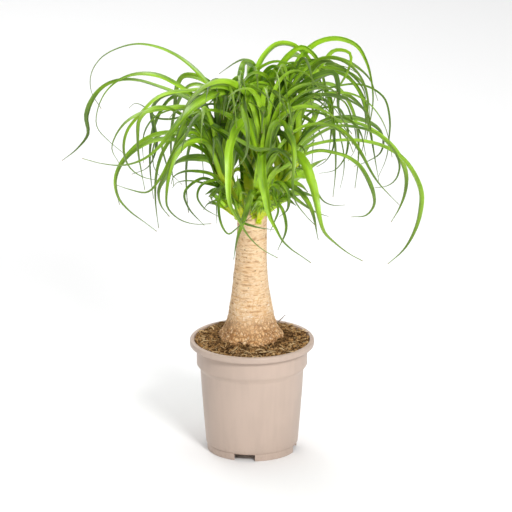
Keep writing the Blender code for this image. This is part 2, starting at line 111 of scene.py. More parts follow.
class SoilSettings(bpy.types.PropertyGroup):
    """The potting soil."""

    crumbs: count("Crumbs", "Loose crumbs on top", 2200)
    fibres: count("Fibres", "Coir fibres on top", 1500)
    colour: tint("Colour", "Colour of the damp peat", (0.050, 0.022, 0.006))
    dry_colour: tint("Dry colour", "Colour of the dry crumbs", (0.40, 0.22, 0.080))
    straw_colour: tint("Straw colour", "Colour of the pale fibres", (0.62, 0.44, 0.23))


class TrunkSettings(bpy.types.PropertyGroup):
    """The trunk and its bark."""

    ring_depth: length("Ring depth", "Depth of the leaf-scar rings", 0.75 * MM)
    crack_depth: length("Crack depth", "Depth of the cracks round the foot", 0.9 * MM)
    pale_colour: tint("Pale bark", "Colour of the smooth bark", (0.87, 0.66, 0.43))
    warm_colour: tint("Warm bark", "Colour of the weathered bark", (0.66, 0.36, 0.145))
    # The dark bark is also laid in the grooves of the rings and cracks, as painted shade.
    dark_colour: tint("Dark bark", "Colour inside rings and cracks", (0.22, 0.095, 0.035))


class LeafSettings(bpy.types.PropertyGroup):
    """The leaves and the shoots that carry them."""

    stations: count("Stations", "Steps along a leaf", 52, least=8)
    columns: count("Columns", "Steps across a leaf", 6, least=2)
    thickness: length("Thickness", "Thickness of a blade", 0.45 * MM)
    inner_leaves: count("Inner leaves", "Young leaves on a shoot", 20)
    sheaths: count("Sheaths", "Short leaf bases on a shoot", 18, least=1)
    deep_colour: tint("Deep green", "Colour of the oldest leaves", (0.048, 0.120, 0.003))
    bright_colour: tint("Bright green", "Colour of the young leaves", (0.40, 0.665, 0.024))
    base_colour: tint("Base", "Colour of the sheathing bases", (0.62, 0.72, 0.02))
    tip_colour: tint("Tip", "Colour of the dried tips", (0.30, 0.20, 0.07))


class StageSettings(bpy.types.PropertyGroup):
    """The floor, the lights and the camera."""

    elevation: bpy.props.FloatProperty(
        name="Elevation",
        description="How far the camera looks down",
        default=math.radians(18.9),
        subtype="ANGLE",
    )
    distance: length("Distance", "From the camera to the plant", 20.0)
    view_width: length("View width", "What the picture spans at the plant", 0.6991)
    key_power: strength("Key light", "Power of the main light", 56.0)
    top_power: strength("Top light", "Power of the light overhead", 48.0)
    rim_power: strength("Rim light", "Power of the light behind", 16.0)
    sky: strength("Sky", "Strength of the even light all round", 0.38)


SHOOTS = ("left", "front", "right", "back")

SETTINGS = {
    "palm_pot": PotSettings,
    "palm_soil": SoilSettings,
    "palm_trunk": TrunkSettings,
    "palm_leaf": LeafSettings,
    "palm_stage": StageSettings,
}

# -----------------------------------------------------------------------------
# Materials


class Value:
    """A node's output that Python's arithmetic can use: each operation adds a Math node."""

    def __init__(self, recipe, socket):
        self.recipe = recipe
        self.socket = socket

    def math(self, operation, *others, swapped=False):
        terms = [self, *others]
        if swapped:
            terms.reverse()
        return self.recipe.node("ShaderNodeMath", {"operation": operation}, dict(enumerate(terms)))

    def __add__(self, other):
        return self.math("ADD", other)

    def __sub__(self, other):
        return self.math("SUBTRACT", other)

    def __rsub__(self, other):
        return self.math("SUBTRACT", other, swapped=True)

    def __mul__(self, other):
        return self.math("MULTIPLY", other)

    def __abs__(self):
        return self.math("ABSOLUTE")

    __radd__ = __add__
    __rmul__ = __mul__


class Recipe:
    """A new material and the nodes that make its finish."""

    def __init__(self, name):
        self.material = bpy.data.materials.new(name)
        self.material.use_nodes = True
        self.tree = self.material.node_tree
        self.tree.nodes.clear()

    def node(self, kind, settings=None, inputs=None, output=0):
        made = self.tree.nodes.new(kind)
        for name, value in (settings or {}).items():
            setattr(made, name, value)
        for name, value in (inputs or {}).items():
            if isinstance(value, Value):
                self.tree.links.new(value.socket, made.inputs[name])
            else:
                made.inputs[name].default_value = value
        return Value(self, made.outputs[output])

    def attribute(self, name):
        return self.node("ShaderNodeAttribute", {"attribute_name": name}, output="Fac")

    def place(self):
        return self.node("ShaderNodeTexCoord", output="Object")

    def axis(self, vector, number):
        return self.node("ShaderNodeSeparateXYZ", {}, {0: vector}, output=number)

    def noise(self, vector, scale, detail=3.0, roughness=0.5):
        """Noise of one scale, or stretched by a scale for each axis."""
        if isinstance(scale, tuple):
            vector = self.node("ShaderNodeVectorMath", {"operation": "MULTIPLY"}, {0: vector, 1: scale})
            scale = 1.0
        inputs = {"Vector": vector, "Scale": scale, "Detail": detail, "Roughness": roughness}
        return self.node("ShaderNodeTexNoise", {}, inputs)

    def smooth(self, value, low, high):
        """0 below low and 1 above high, or the other way round where low is the greater."""
        inputs = {"Value": value, "From Min": low, "From Max": high}
        return self.node("ShaderNodeMapRange", {"interpolation_type": "SMOOTHSTEP"}, inputs)

    def mix(self, first, second, factor):
        inputs = {0: factor, 6: self.solid(first), 7: self.solid(second)}
        return self.node("ShaderNodeMix", {"data_type": "RGBA"}, inputs, output=2)

    def over(self, under, colour, value, low, high, most=None):
        """The colour laid over another where the value is near high, at most this strongly."""
        factor = self.smooth(value, low, high)
        return self.mix(under, colour, factor if most is None else factor * most)

    def solid(self, colour):
        return colour if isinstance(colour, Value) else (*colour, 1)

    def bump(self, height, strength, distance):
        inputs = {"Height": height, "Strength": strength, "Distance": distance}
        return self.node("ShaderNodeBump", {}, inputs)

    def finish(self, inputs):
        surface = self.node("ShaderNodeBsdfPrincipled", {}, inputs)
        out = self.tree.nodes.new("ShaderNodeOutputMaterial")
        self.tree.links.new(surface.socket, out.inputs["Surface"])
        return self.material


def leaf_material():
    """Waxy strap leaf: fine veins along it, a pale clasping base, a drawn-out tip that fades and dries."""
    look = bpy.context.scene.palm_leaf
    recipe = Recipe("ponytail_leaf")
    uv = recipe.node("ShaderNodeUVMap", {"uv_map": "UVMap"})
    across = recipe.axis(uv, 0)
    along = recipe.axis(uv, 1)
    tone = recipe.attribute("tone")
    shifted = recipe.node("ShaderNodeCombineXYZ", {}, {0: across, 1: along, 2: tone * 17.0})
    veins = recipe.noise(shifted, (26, 2.2, 1), detail=2.0)
    fine = recipe.noise(shifted, (70, 4, 1), detail=1.0)
    patches = recipe.noise(shifted, (1.5, 7, 1), detail=2.0)
    off_middle = abs(across - 0.5) * 2.0
    youth = tone * 0.75 + (patches - 0.5) * 1.3 + 0.11
    body = recipe.over(look.deep_colour, look.bright_colour, youth, 0.0, 1.0)
    streaked = recipe.over(body, look.bright_colour, veins, 0.48, 0.75, 0.35)
    lined = recipe.over(streaked, look.deep_colour, fine, 0.52, 0.8, 0.3)
    ribbed = recipe.over(lined, look.bright_colour, off_middle, 0.14, 0.0, 0.4)
    lime = (tone.math("MAXIMUM", 1.0) - 1.0) * 0.8
    based = recipe.over(ribbed, look.base_colour, along + veins * 0.05 - lime, 0.2, 0.03)
    fading = recipe.over(based, (0.10, 0.15, 0.04), along + patches * 0.1, 0.64, 0.95, 0.7)
    dried = recipe.over(fading, look.tip_colour, along, 0.99, 1.0)
    height = veins * 0.7 + fine * 0.3
    return recipe.finish(
        {
            "Base Color": dried,
            "Roughness": 0.30 + veins * 0.16,
            "Normal": recipe.bump(height, 0.35, 0.25 * MM),
            "Subsurface Weight": 0.2,
            "Subsurface Radius": (0.6, 1.0, 0.15),
            "Subsurface Scale": 1.5 * MM,
            "Specular IOR Level": 0.5,
        }
    )


def shoot_material():
    """The fleshy core that the leaf bases clasp: pale lime, ringed where bases have been."""
    look = bpy.context.scene.palm_leaf
    recipe = Recipe("shoot_skin")
    place = recipe.place()
    rings = recipe.noise(place, (40, 40, 420), detail=3.0)
    streaks = recipe.noise(place, (700, 700, 60), detail=2.0)
    colour = recipe.over(look.base_colour, look.bright_colour, streaks, 0.4, 0.7, 0.6)
    ringed = recipe.over(colour, (0.45, 0.32, 0.10), rings, 0.55, 0.75, 0.6)
    return recipe.finish(
        {"Base Color": ringed, "Roughness": 0.55, "Normal": recipe.bump(rings + streaks, 0.4, 0.4 * MM)}
    )


def pot_material():
    """Moulded plastic with a soft sheen, faint flow marks, fine scuffs and a little dust low down."""
    look = bpy.context.scene.palm_pot
    recipe = Recipe("moulded_taupe_plastic")
    place = recipe.place()
    height = recipe.axis(place, 2)
    cloud = recipe.noise(place, 14.0, detail=3.0)
    flow = recipe.noise(place, (120, 120, 9), detail=3.0)
    grain = recipe.noise(place, 1700.0, detail=2.0)
    specks = recipe.noise(place, 260.0, detail=4.0, roughness=0.65)
    scratch = recipe.noise(place, (60, 60, 900), detail=2.0)
    darker = tuple(0.86 * part for part in look.colour)
    toned = recipe.over(look.colour, darker, cloud * 0.6 + flow * 0.4, 0.4, 0.62, 0.5)
    speckled = recipe.over(toned, (0.30, 0.22, 0.17), specks, 0.71, 0.78, 0.45)
    low = recipe.smooth(height, 0.03, 0.0)
    dusty = recipe.mix(speckled, (0.40, 0.29, 0.21), low * recipe.smooth(specks, 0.45, 0.7) * 0.4)
    scuffs = recipe.smooth(scratch, 0.62, 0.75)
    return recipe.finish(
        {
            "Base Color": dusty,
            "Roughness": 0.40 + cloud * 0.10 + scuffs * 0.08,
            "Normal": recipe.bump(grain * 0.5 + flow * 0.5, 0.12, 0.15 * MM),
            "Specular IOR Level": 0.45,
        }
    )


def bark_material():
    """Corky bark: pale and smooth above, warm and cracked at the foot, dark in its rings and cracks, with
    painted shade laid in their grooves.
    """
    look = bpy.context.scene.palm_trunk
    recipe = Recipe("corky_bark")
    place = recipe.place()
    height = recipe.axis(place, 2)
    groove = recipe.attribute("groove")
    scar = recipe.attribute("scar")
    patches = recipe.noise(place, (26, 26, 60), detail=4.0, roughness=0.6)
    blotches = recipe.noise(place, (90, 90, 230), detail=4.0, roughness=0.65)
    dashes = recipe.noise(place, (120, 120, 420), detail=4.0, roughness=0.65)
    wrinkles = recipe.noise(place, (60, 60, 800), detail=4.0, roughness=0.65)
    threads = recipe.noise(place, (110, 110, 1100), detail=3.0, roughness=0.6)
    flecks = recipe.noise(place, (260, 260, 210), detail=4.0, roughness=0.7)
    pits = recipe.noise(place, (210, 210, 330), detail=3.0, roughness=0.6)
    grain = recipe.noise(place, 1400.0, detail=3.0, roughness=0.7)
    waver = {"Vector": place, "Scale": 160.0, "Detail": 3.0}
    drift = recipe.node("ShaderNodeTexNoise", {}, waver, output="Color")
    stretch = {0: place, 1: (210, 210, 150), 2: drift}
    bent = recipe.node("ShaderNodeVectorMath", {"operation": "MULTIPLY_ADD"}, stretch)
    cells = {"Vector": bent, "Scale": 1.0}
    edges = recipe.node("ShaderNodeTexVoronoi", {"feature": "DISTANCE_TO_EDGE"}, cells)
    crackle = recipe.smooth(edges, 0.2, 0.03)
    low = recipe.smooth(height + patches * 0.04, 0.222, 0.190)
    middle = recipe.smooth(height + patches * 0.05, 0.285, 0.225)
    warmth = recipe.smooth(patches * 0.5 + blotches * 0.5, 0.47, 0.66)
    skin = recipe.mix(look.pale_colour, look.warm_colour, warmth * (0.5 + middle * 0.2))
    bleaching = recipe.smooth(blotches, 0.54, 0.68) * (0.3 + middle * 0.45)
    bleached = recipe.mix(skin, (0.97, 0.88, 0.72), bleaching)
    streaked = recipe.over(bleached, (0.70, 0.42, 0.19), threads, 0.50, 0.60, 0.55)
    lined = recipe.over(streaked, look.warm_colour, wrinkles, 0.52, 0.66, 0.5)
    dashed = recipe.over(lined, (0.42, 0.21, 0.085), dashes, 0.57, 0.68, 0.6)
    netted = recipe.mix(dashed, look.warm_colour, crackle * middle * recipe.smooth(flecks, 0.42, 0.6) * 0.8)
    rust = recipe.over((0.64, 0.33, 0.115), (0.86, 0.55, 0.27), blotches, 0.38, 0.58)
    flecked = recipe.over(rust, (0.95, 0.80, 0.58), flecks, 0.53, 0.64, 0.8)
    soiled = recipe.over(flecked, look.dark_colour, patches * 0.4 + flecks * 0.6, 0.49, 0.41, 0.75)
    crackled = recipe.mix(soiled, look.dark_colour, crackle * 0.7)
    pitted = recipe.over(netted, (0.34, 0.16, 0.06), pits, 0.61, 0.70, 0.6)
    footed = recipe.mix(pitted, crackled, low)
    grained = recipe.over(footed, look.dark_colour, grain, 0.60, 0.82, 0.35)
    # Painted shade: the bark is darkened by the depth of its ring and crack grooves, over the darker bark
    # that the rings and cracks have.
    shaded = recipe.over(grained, (0.46, 0.23, 0.09), groove, 0.1, 0.8, 0.42)
    shaded_grooves = recipe.over(shaded, look.dark_colour, groove, 0.6, 1.2, 0.6)
    scarred = recipe.over(shaded_grooves, (0.07, 0.025, 0.012), scar, 0.15, 0.7, 0.9)
    relief = wrinkles * 0.4 + grain * 0.3 + flecks * 0.3
    return recipe.finish(
        {
            "Base Color": scarred,
            "Roughness": 0.78 + grain * 0.15,
            "Normal": recipe.bump(relief, 0.6, 0.5 * MM),
            "Specular IOR Level": 0.3,
        }
    )


def soil_material():
    """Damp peat between the crumbs."""
    look = bpy.context.scene.palm_soil
    recipe = Recipe("damp_peat")
    place = recipe.place()
    lumps = recipe.noise(place, 260.0, detail=5.0, roughness=0.7)
    colour = recipe.over(look.colour, look.dry_colour, lumps, 0.48, 0.75, 0.8)
    relief = recipe.bump(lumps, 0.9, 1.2 * MM)
    return recipe.finish(
        {"Base Color": colour, "Roughness": 0.95, "Specular IOR Level": 0.15, "Normal": relief}
    )


def crumb_material(name, pale):
    """Dry crumbs or fibres: each has its own tone between damp peat and straw."""
    look = bpy.context.scene.palm_soil
    recipe = Recipe(name)
    tone = recipe.attribute("tone")
    grain = recipe.noise(recipe.place(), 900.0, detail=3.0, roughness=0.6)
    brown = recipe.over(look.colour, look.dry_colour, tone + grain * 0.5, 0.2, 0.9)
    straw = recipe.over(brown, look.straw_colour, tone + grain * 0.2, 1.1 - pale, 1.25 - pale * 0.6)
    relief = recipe.bump(grain, 0.5, 0.3 * MM)
    return recipe.finish(
        {"Base Color": straw, "Roughness": 0.9, "Specular IOR Level": 0.2, "Normal": relief}
    )


def twig_material():
    """Grey-brown dead wood with a grain along it."""
    recipe = Recipe("dead_twig")
    grain = recipe.noise(recipe.place(), (300, 300, 1200), detail=3.0)
    colour = recipe.mix((0.16, 0.11, 0.07), (0.36, 0.29, 0.21), grain)
    relief = recipe.bump(grain, 0.5, 0.2 * MM)
    return recipe.finish({"Base Color": colour, "Roughness": 0.85, "Normal": relief})


# -----------------------------------------------------------------------------
# Shared modelling steps


def deselect_all():
    if bpy.context.mode != "OBJECT":
        bpy.ops.object.mode_set(mode="OBJECT")
    bpy.ops.object.select_all(action="DESELECT")


def active(name=None):
    thing = bpy.context.view_layer.objects.active
    if name:
        thing.name = name
        thing.data.name = name
    return thing


def use(thing):
    deselect_all()
    thing.select_set(True)
    bpy.context.view_layer.objects.active = thing


def edit(operation, **settings):
    """Runs one edit-mode operator on the whole of the active piece."""
    bpy.ops.object.mode_set(mode="EDIT")
    bpy.ops.mesh.select_all(action="SELECT")
    operation(**settings)
    bpy.ops.object.mode_set(mode="OBJECT")


def grid(name, across, along):
    """A flat grid of unit size with its UV map, u across and v along."""
    deselect_all()
    bpy.ops.mesh.primitive_grid_add(x_subdivisions=across, y_subdivisions=along, size=1, calc_uvs=True)
    return active(name)


def shape_grid(piece, across, along, point_at):
    """Puts each of the grid's points where point_at(u, v) says."""
    for vertex in piece.data.vertices:
        u = round((vertex.co.x + 0.5) * across) / across
        v = round((vertex.co.y + 0.5) * along) / along
        vertex.co = point_at(u, v)


def set_attribute(piece, name, values):
    layer = piece.data.attributes.new(name, "FLOAT", "POINT")
    layer.data.foreach_set("value", values)


def apply_modifier(piece, kind, **settings):
    use(piece)
    added = piece.modifiers.new(kind.lower(), kind)
    for name, value in settings.items():
        setattr(added, name, value)
    bpy.ops.object.modifier_apply(modifier=added.name)


def close(piece):
    """Closes seams and poles and turns the faces out."""
    use(piece)
    edit(bpy.ops.mesh.remove_doubles, threshold=0.005 * MM)
    edit(bpy.ops.mesh.normals_make_consistent, inside=False)


def smooth(piece, angle):
    """Shades a piece smooth, apart from edges sharper than the angle in degrees."""
    use(piece)
    bpy.ops.object.shade_smooth_by_angle(angle=math.radians(angle))


def settle(piece, material, slot_name, *nodes):
    """Gives a finished piece its material and its place in the frame."""
    piece.data.materials.clear()
    piece.data.materials.append(material)
    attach(piece, "root")
    if nodes:
        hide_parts(*nodes)


def linked(name, mesh):
    """A new object that holds this mesh."""
    made = bpy.data.objects.new(name, mesh)
    bpy.context.scene.collection.objects.link(made)
    return made


def from_bmesh(name, bm):
    """A new object from a bmesh."""
    mesh = bpy.data.meshes.new(name)
    bm.to_mesh(mesh)
    bm.free()
    return linked(name, mesh)


def close_tube(bm, rings):
    """Adds the faces between each ring of points and the next, and those over both ends."""
    for near, far in zip(rings, rings[1:]):
        for step in range(len(near)):
            after = (step + 1) % len(near)
            bm.faces.new((near[step], near[after], far[after], far[step]))
    bm.faces.new(rings[0])
    bm.faces.new(rings[-1])
    bmesh.ops.recalc_face_normals(bm, faces=bm.faces)


def turned(name, outline, sides):
    """Spins an outline in mm, whose ends are on the axis, into a closed piece."""
    deselect_all()
    bpy.ops.mesh.primitive_circle_add(vertices=len(outline), radius=1)
    piece = active(name)
    use(piece)
    for vertex, (radius, height) in zip(piece.data.vertices, outline):
        vertex.co = (radius * MM, 0, height * MM)
    bpy.ops.object.mode_set(mode="EDIT")
    bm = bmesh.from_edit_mesh(piece.data)
    bm.verts.ensure_lookup_table()
    closing = [e for e in bm.edges if {v.index for v in e.verts} == {0, len(outline) - 1}]
    bmesh.ops.delete(bm, geom=closing, context="EDGES")
    bmesh.update_edit_mesh(piece.data)
    bpy.ops.mesh.select_all(action="SELECT")
    bpy.ops.mesh.spin(steps=sides, angle=math.tau, center=(0, 0, 0), axis=(0, 0, 1))
    bpy.ops.object.mode_set(mode="OBJECT")
    return piece


def clamped(value):
    """The value, kept between 0 and 1."""
    return min(1, max(0, value))


def arc(centre, radius, start, end, steps):
    """Points of an arc in the outline's plane. Angles are in degrees from outward, towards up."""
    points = []
    for number in range(steps + 1):
        angle = math.radians(start + (end - start) * number / steps)
        points.append((centre[0] + radius * math.cos(angle), centre[1] + radius * math.sin(angle)))
    return points


# -----------------------------------------------------------------------------
# The pot


def pot_outline():
    """The pot's outline in mm, from the middle of its underside up its outside and down its inside."""
    look = bpy.context.scene.palm_pot
    low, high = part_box("pot")
    rim, top = high[0] / MM - 0.05, high[2] / MM
    foot, collar, wall = look.foot_height / MM, look.collar_bottom / MM, look.wall / MM
    outside = [(0, 0), (36, 0), (40, foot), (58.2, foot), (58.6, 0.4)]
    outside += arc((59.4, 0.8), 0.8, 200, 270, 3) + arc((60.3, 0.7), 0.7, -90, 0, 3)
    outside += [(61.45, foot - 0.5), (61.15, foot - 0.1), (61.2, foot + 0.3), (62.4, foot + 0.7)]
    outside += [(62.75, foot + 1.3), (63.2, foot + 6), (66.2, 52), (68.8, 86), (70.55, collar - 9)]
    outside += [(70.9, collar - 6.6), (71.6, collar - 5.0), (73.3, collar - 2.6), (73.8, collar - 1.4)]
    outside += [(73.9, collar - 0.5), (74.2, collar - 0.3), (75.1, collar - 0.1), (75.45, collar + 0.3)]
    outside += [(75.55, collar + 1.0), (75.6, collar + 4), (75.8, 147.6)]
    outside += arc((76.9, 147.9), 1.1, 180, 90, 3)
    outside += arc((rim - 1.6, 150.6), 1.6, -90, 0, 4)
    outside += arc((rim - 2.6, top - 2.6), 2.6, 0, 90, 7)
    inside = arc((80.2, top - 0.9), 0.9, 90, 180, 3)
    inside += [(78.6, top - 4), (76.9, 151.5), (75.5 - wall, 149.4), (75.4 - wall, collar + 1)]
    inside += [(74.0 - wall, collar - 1), (70.6 - wall, collar - 6.5), (61.2, foot + wall + 0.6)]
    inside += [(60.2, foot + wall), (39, foot + wall), (35, wall), (0, wall)]
    return outside + inside


NOTCHES = 4
DRAIN_HOLES = 8
FIRST_NOTCH = -99.7


def cut_openings(pot):
    """Cuts the notches in the foot ring and the ring of drain holes in the floor."""
    look = bpy.context.scene.palm_pot
    cutters = bmesh.new()
    notch = Matrix.Translation((60.9 * MM, 0, 0)) @ Matrix.Diagonal((10 * MM, 28.7 * MM, 18.8 * MM, 1))
    for number in range(NOTCHES):
        turn = Matrix.Rotation(math.radians(FIRST_NOTCH + 360 / NOTCHES * number), 4, "Z")
        bmesh.ops.create_cube(cutters, size=1, matrix=turn @ notch)
    hole = Matrix.Translation((49 * MM, 0, look.foot_height + look.wall / 2))
    sizes = {"segments": 32, "radius1": 5 * MM, "radius2": 5 * MM, "depth": 6 * MM, "cap_ends": True}
    for number in range(DRAIN_HOLES):
        turn = Matrix.Rotation(math.radians(FIRST_NOTCH + 360 / DRAIN_HOLES * number), 4, "Z")
        bmesh.ops.create_cone(cutters, matrix=turn @ hole, **sizes)
    cutter = from_bmesh("openings", cutters)
    apply_modifier(pot, "BOOLEAN", operation="DIFFERENCE", solver="EXACT", object=cutter)
    bpy.data.objects.remove(cutter)


class PALM_OT_pot(bpy.types.Operator):
    """Turn the nursery pot, with its rolled rim, collar, foot ring, notches and drain holes"""

    bl_idname = "palm.pot"
    bl_label = "Build pot"

    def execute(self, context):
        pot = turned("nursery_pot", pot_outline(), context.scene.palm_pot.sides)
        close(pot)
        cut_openings(pot)
        smooth(pot, 32)
        settle(pot, pot_material(), "pot", "pot")
        return {"FINISHED"}


# -----------------------------------------------------------------------------
# The trunk

# Height and radius (mm) from the middle of the trunk's underside to the middle of its top
TRUNK_OUTLINE = [
    (134, 0), (134.4, 18), (136, 34), (140, 45), (147, 49.6), (153, 49.6), (162, 45.2), (172.5, 37.9),
    (183.5, 33.3), (195, 30.9), (207, 29.1), (218, 27.2), (232, 25.0), (247, 23.6), (265, 22.0), (285, 21.0),
    (315, 20.4), (340, 20.2), (348, 18.6), (354.5, 14.3), (359, 7.5), (360.1, 0),
]
TRUNK_ROUND = 190
TRUNK_UP = 500


def eased(table, share):
    """The table's values at this share of its length, along a smooth curve through its rows."""
    spans = len(table) - 1
    place = min(share * spans, spans - 1e-6)
    number = int(place)
    t = place - number
    rows = [table[min(max(number + step, 0), spans)] for step in (-1, 0, 1, 2)]
    found = []
    for a, b, c, d in zip(*rows):
        square, cube = 2 * a - 5 * b + 4 * c - d, 3 * b - a - 3 * c + d
        found.append(0.5 * (2 * b + (c - a) * t + square * t * t + cube * t**3))
    return found


def even_table(table, count):
    """The curve through the table's rows as this many rows at even steps along its length."""
    fine = [eased(table, number / 2000) for number in range(2001)]
    walked = [0]
    for near, far in zip(fine, fine[1:]):
        walked.append(walked[-1] + math.dist(near, far))
    found = []
    place = 0
    for number in range(count + 1):
        wanted = walked[-1] * number / count
        while place < len(fine) - 2 and walked[place + 1] < wanted:
            place += 1
        found.append(fine[place])
    return found


def trunk_swell(around, height):
    """The soft lobes of the foot, as the frame's trunk has them."""
    low = max(0, (230 * MM - height) / (230 * MM))
    return 1 + 0.09 * low * math.sin(5 * around + 0.8) + 0.012 * math.sin(3 * around + 40 * height)


# Old scars: place round the trunk (radians), height (mm) and size
SCARS = [
    (-1.95, 333, 2.0), (-1.15, 305, 1.6), (-2.05, 291, 2.2), (-1.9, 280, 1.3), (-1.3, 262, 1.6),
    (-2.5, 275, 2.0), (-0.9, 246, 1.4), (-1.7, 238, 1.5), (-2.3, 322, 1.3), (0.4, 300, 2.0),
    (1.6, 268, 2.1), (2.6, 312, 1.8), (0.9, 332, 1.4), (2.2, 245, 1.9), (-0.4, 224, 1.5),
    (3.0, 281, 1.7), (1.2, 226, 1.6),
]
RING_STEP = 6.2
FINE_RING_STEP = 2.3


def crest(phase, floor):
    """1 at each whole phase and 0 between, narrower where the floor is higher."""
    return max(0, math.cos(math.tau * phase) - floor) / (1 - floor)


def cell_edge(spot, sharpness):
    """1 on the edges between cells and 0 inside them."""
    distances = noise.voronoi(spot)[0]
    return max(0, 1 - (distances[1] - distances[0]) * sharpness)


def scar_at(around, level):
    """How deep in an old scar this place is, from 0 to 1."""
    found = 0
    for scar_around, scar_level, size in SCARS:
        turn = (around - scar_around + math.pi) % math.tau - math.pi
        found = max(found, 1 - math.hypot(turn * 22 / size, (level - scar_level) / (size * 0.7)))
    return found


def bark_at(around, height):
    """(inward depth, groove from 0 to 1, scar from 0 to 1) of the bark at this place on the trunk; the groove
    also sets painted shade in the bark's colour.
    """
    look = bpy.context.scene.palm_trunk
    spot = Vector((math.cos(around), math.sin(around), 0))
    level = height / MM
    low = clamped((212 - level) / 34)
    wander = 1.5 * noise.noise(spot * 1.1 + Vector((0, 0, level * 0.02)))
    wander += 0.6 * noise.noise(spot * 5 + Vector((3, 1, level * 0.1)))
    phase = (level + wander) / RING_STEP + 1.7 * noise.noise(Vector((2, 5, level * 0.045)))
    broken = noise.noise(Vector((spot.x * 3.6, spot.y * 3.6, round(phase) * 7.7)))
    ring = crest(phase, 0.15) * clamped(0.42 + 1.8 * broken)
    fine_drift = 1.5 * noise.noise(spot * 2 + Vector((5, 7, level * 0.1)))
    fine = crest((level + wander * 1.5) / FINE_RING_STEP + fine_drift, 0.1)
    fine *= clamped(0.55 + 1.8 * noise.noise(spot * 4.5 + Vector((1, 1, level * 0.2))))
    net_spot = Vector((spot.x * 8.0, spot.y * 8.0, height * 210))
    net_spot += noise.noise_vector(net_spot * 0.7) * 0.5
    small_net = cell_edge(net_spot * 2.1 + Vector((4, 4, 4)), 4.5)
    cracks = max(cell_edge(net_spot, 5.0), small_net * 0.7) * low
    scar = scar_at(around, level)
    rough = noise.fractal(Vector((spot.x * 3, spot.y * 3, height * 110)), 0.7, 2.1, 5) * 0.5
    depth = (ring + fine * 0.4) * (1 - 0.6 * low) * look.ring_depth
    depth += cracks * look.crack_depth + scar * 0.9 * MM - rough * 0.9 * MM
    groove = max(ring * (1 - 0.5 * low), fine * 0.55 * (1 - 0.5 * low), cracks * 0.9)
    return depth, groove, scar


class PALM_OT_trunk(bpy.types.Operator):
    """Model the trunk with the rings, wrinkles, scars and cracks of its bark"""

    bl_idname = "palm.trunk"
    bl_label = "Build trunk"

    def execute(self, context):
        trunk = grid("ponytail_trunk", TRUNK_ROUND, TRUNK_UP)
        outline = even_table(TRUNK_OUTLINE, TRUNK_UP)
        low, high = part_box("trunk")
        shift = (low[0] + high[0]) / 2
        grooves = []
        scars = []

        def point_at(u, v):
            height, radius = (value * MM for value in outline[round(v * TRUNK_UP)])
            around = (u % 1.0) * math.tau
            radius = max(0, radius)
            depth, groove, scar = bark_at(around, height)
            grooves.append(groove)
            scars.append(scar)
            out = radius * trunk_swell(around, height) - depth * min(1, radius / (12 * MM))
            lean = 1.8 * MM * clamped((height - 250 * MM) / (50 * MM))
            return Vector((shift + lean + math.cos(around) * out, math.sin(around) * out, height))

        shape_grid(trunk, TRUNK_ROUND, TRUNK_UP, point_at)
        set_attribute(trunk, "groove", grooves)
        set_attribute(trunk, "scar", scars)
        close(trunk)
        smooth(trunk, 80)
        settle(trunk, bark_material(), "trunk", "trunk")
        return {"FINISHED"}


# -----------------------------------------------------------------------------
# The soil


SOIL_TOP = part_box("soil")[1][2]


def soil_height(x, y):
    """The height of the soil's surface: a low mound with lumps."""
    wall, top = 155.2 * MM, SOIL_TOP
    away = math.hypot(x, y)
    share = clamped((away - 44 * MM) / (28 * MM))
    mound = top - 1.5 * MM - (top - wall - 1.5 * MM) * share**1.2
    lumps = noise.fractal(Vector((x, y, 0.3)) * 85, 0.8, 2.1, 4) * 2.4 * MM
    return mound + lumps * clamped((80 * MM - away) / (6 * MM))


def crumb_shapes(rng):
    """A few irregular crumbs of unit size."""
    shapes = []
    for number in range(5):
        deselect_all()
        bpy.ops.mesh.primitive_ico_sphere_add(subdivisions=1 if number < 3 else 2, radius=1)
        crumb = active(f"crumb_{number}")
        for vertex in crumb.data.vertices:
            vertex.co *= 0.7 + 0.6 * rng.random()
        shapes.append(crumb)
    return shapes


def fibre_shapes(rng):
    """A few bent three-sided fibres of unit length, thickest in the middle."""
    shapes = []
    for number in range(6):
        bm = bmesh.new()
        bend = Vector((0, rng.uniform(-0.3, 0.3), rng.uniform(-0.15, 0.15)))
        rings = []
        for step in range(6):
            share = step / 5
            bow = math.sin(math.pi * share) + 0.3 * math.sin(5 * share + number)
            middle = Vector((share - 0.5, 0, 0)) + bend * bow
            width = 0.028 * (0.35 + math.sin(math.pi * share))
            around = [math.tau * side / 3 for side in range(3)]
            corners = [middle + Vector((0, math.cos(a), math.sin(a))) * width for a in around]
            rings.append([bm.verts.new(corner) for corner in corners])
        close_tube(bm, rings)
        shapes.append(from_bmesh(f"fibre_{number}", bm))
    return shapes


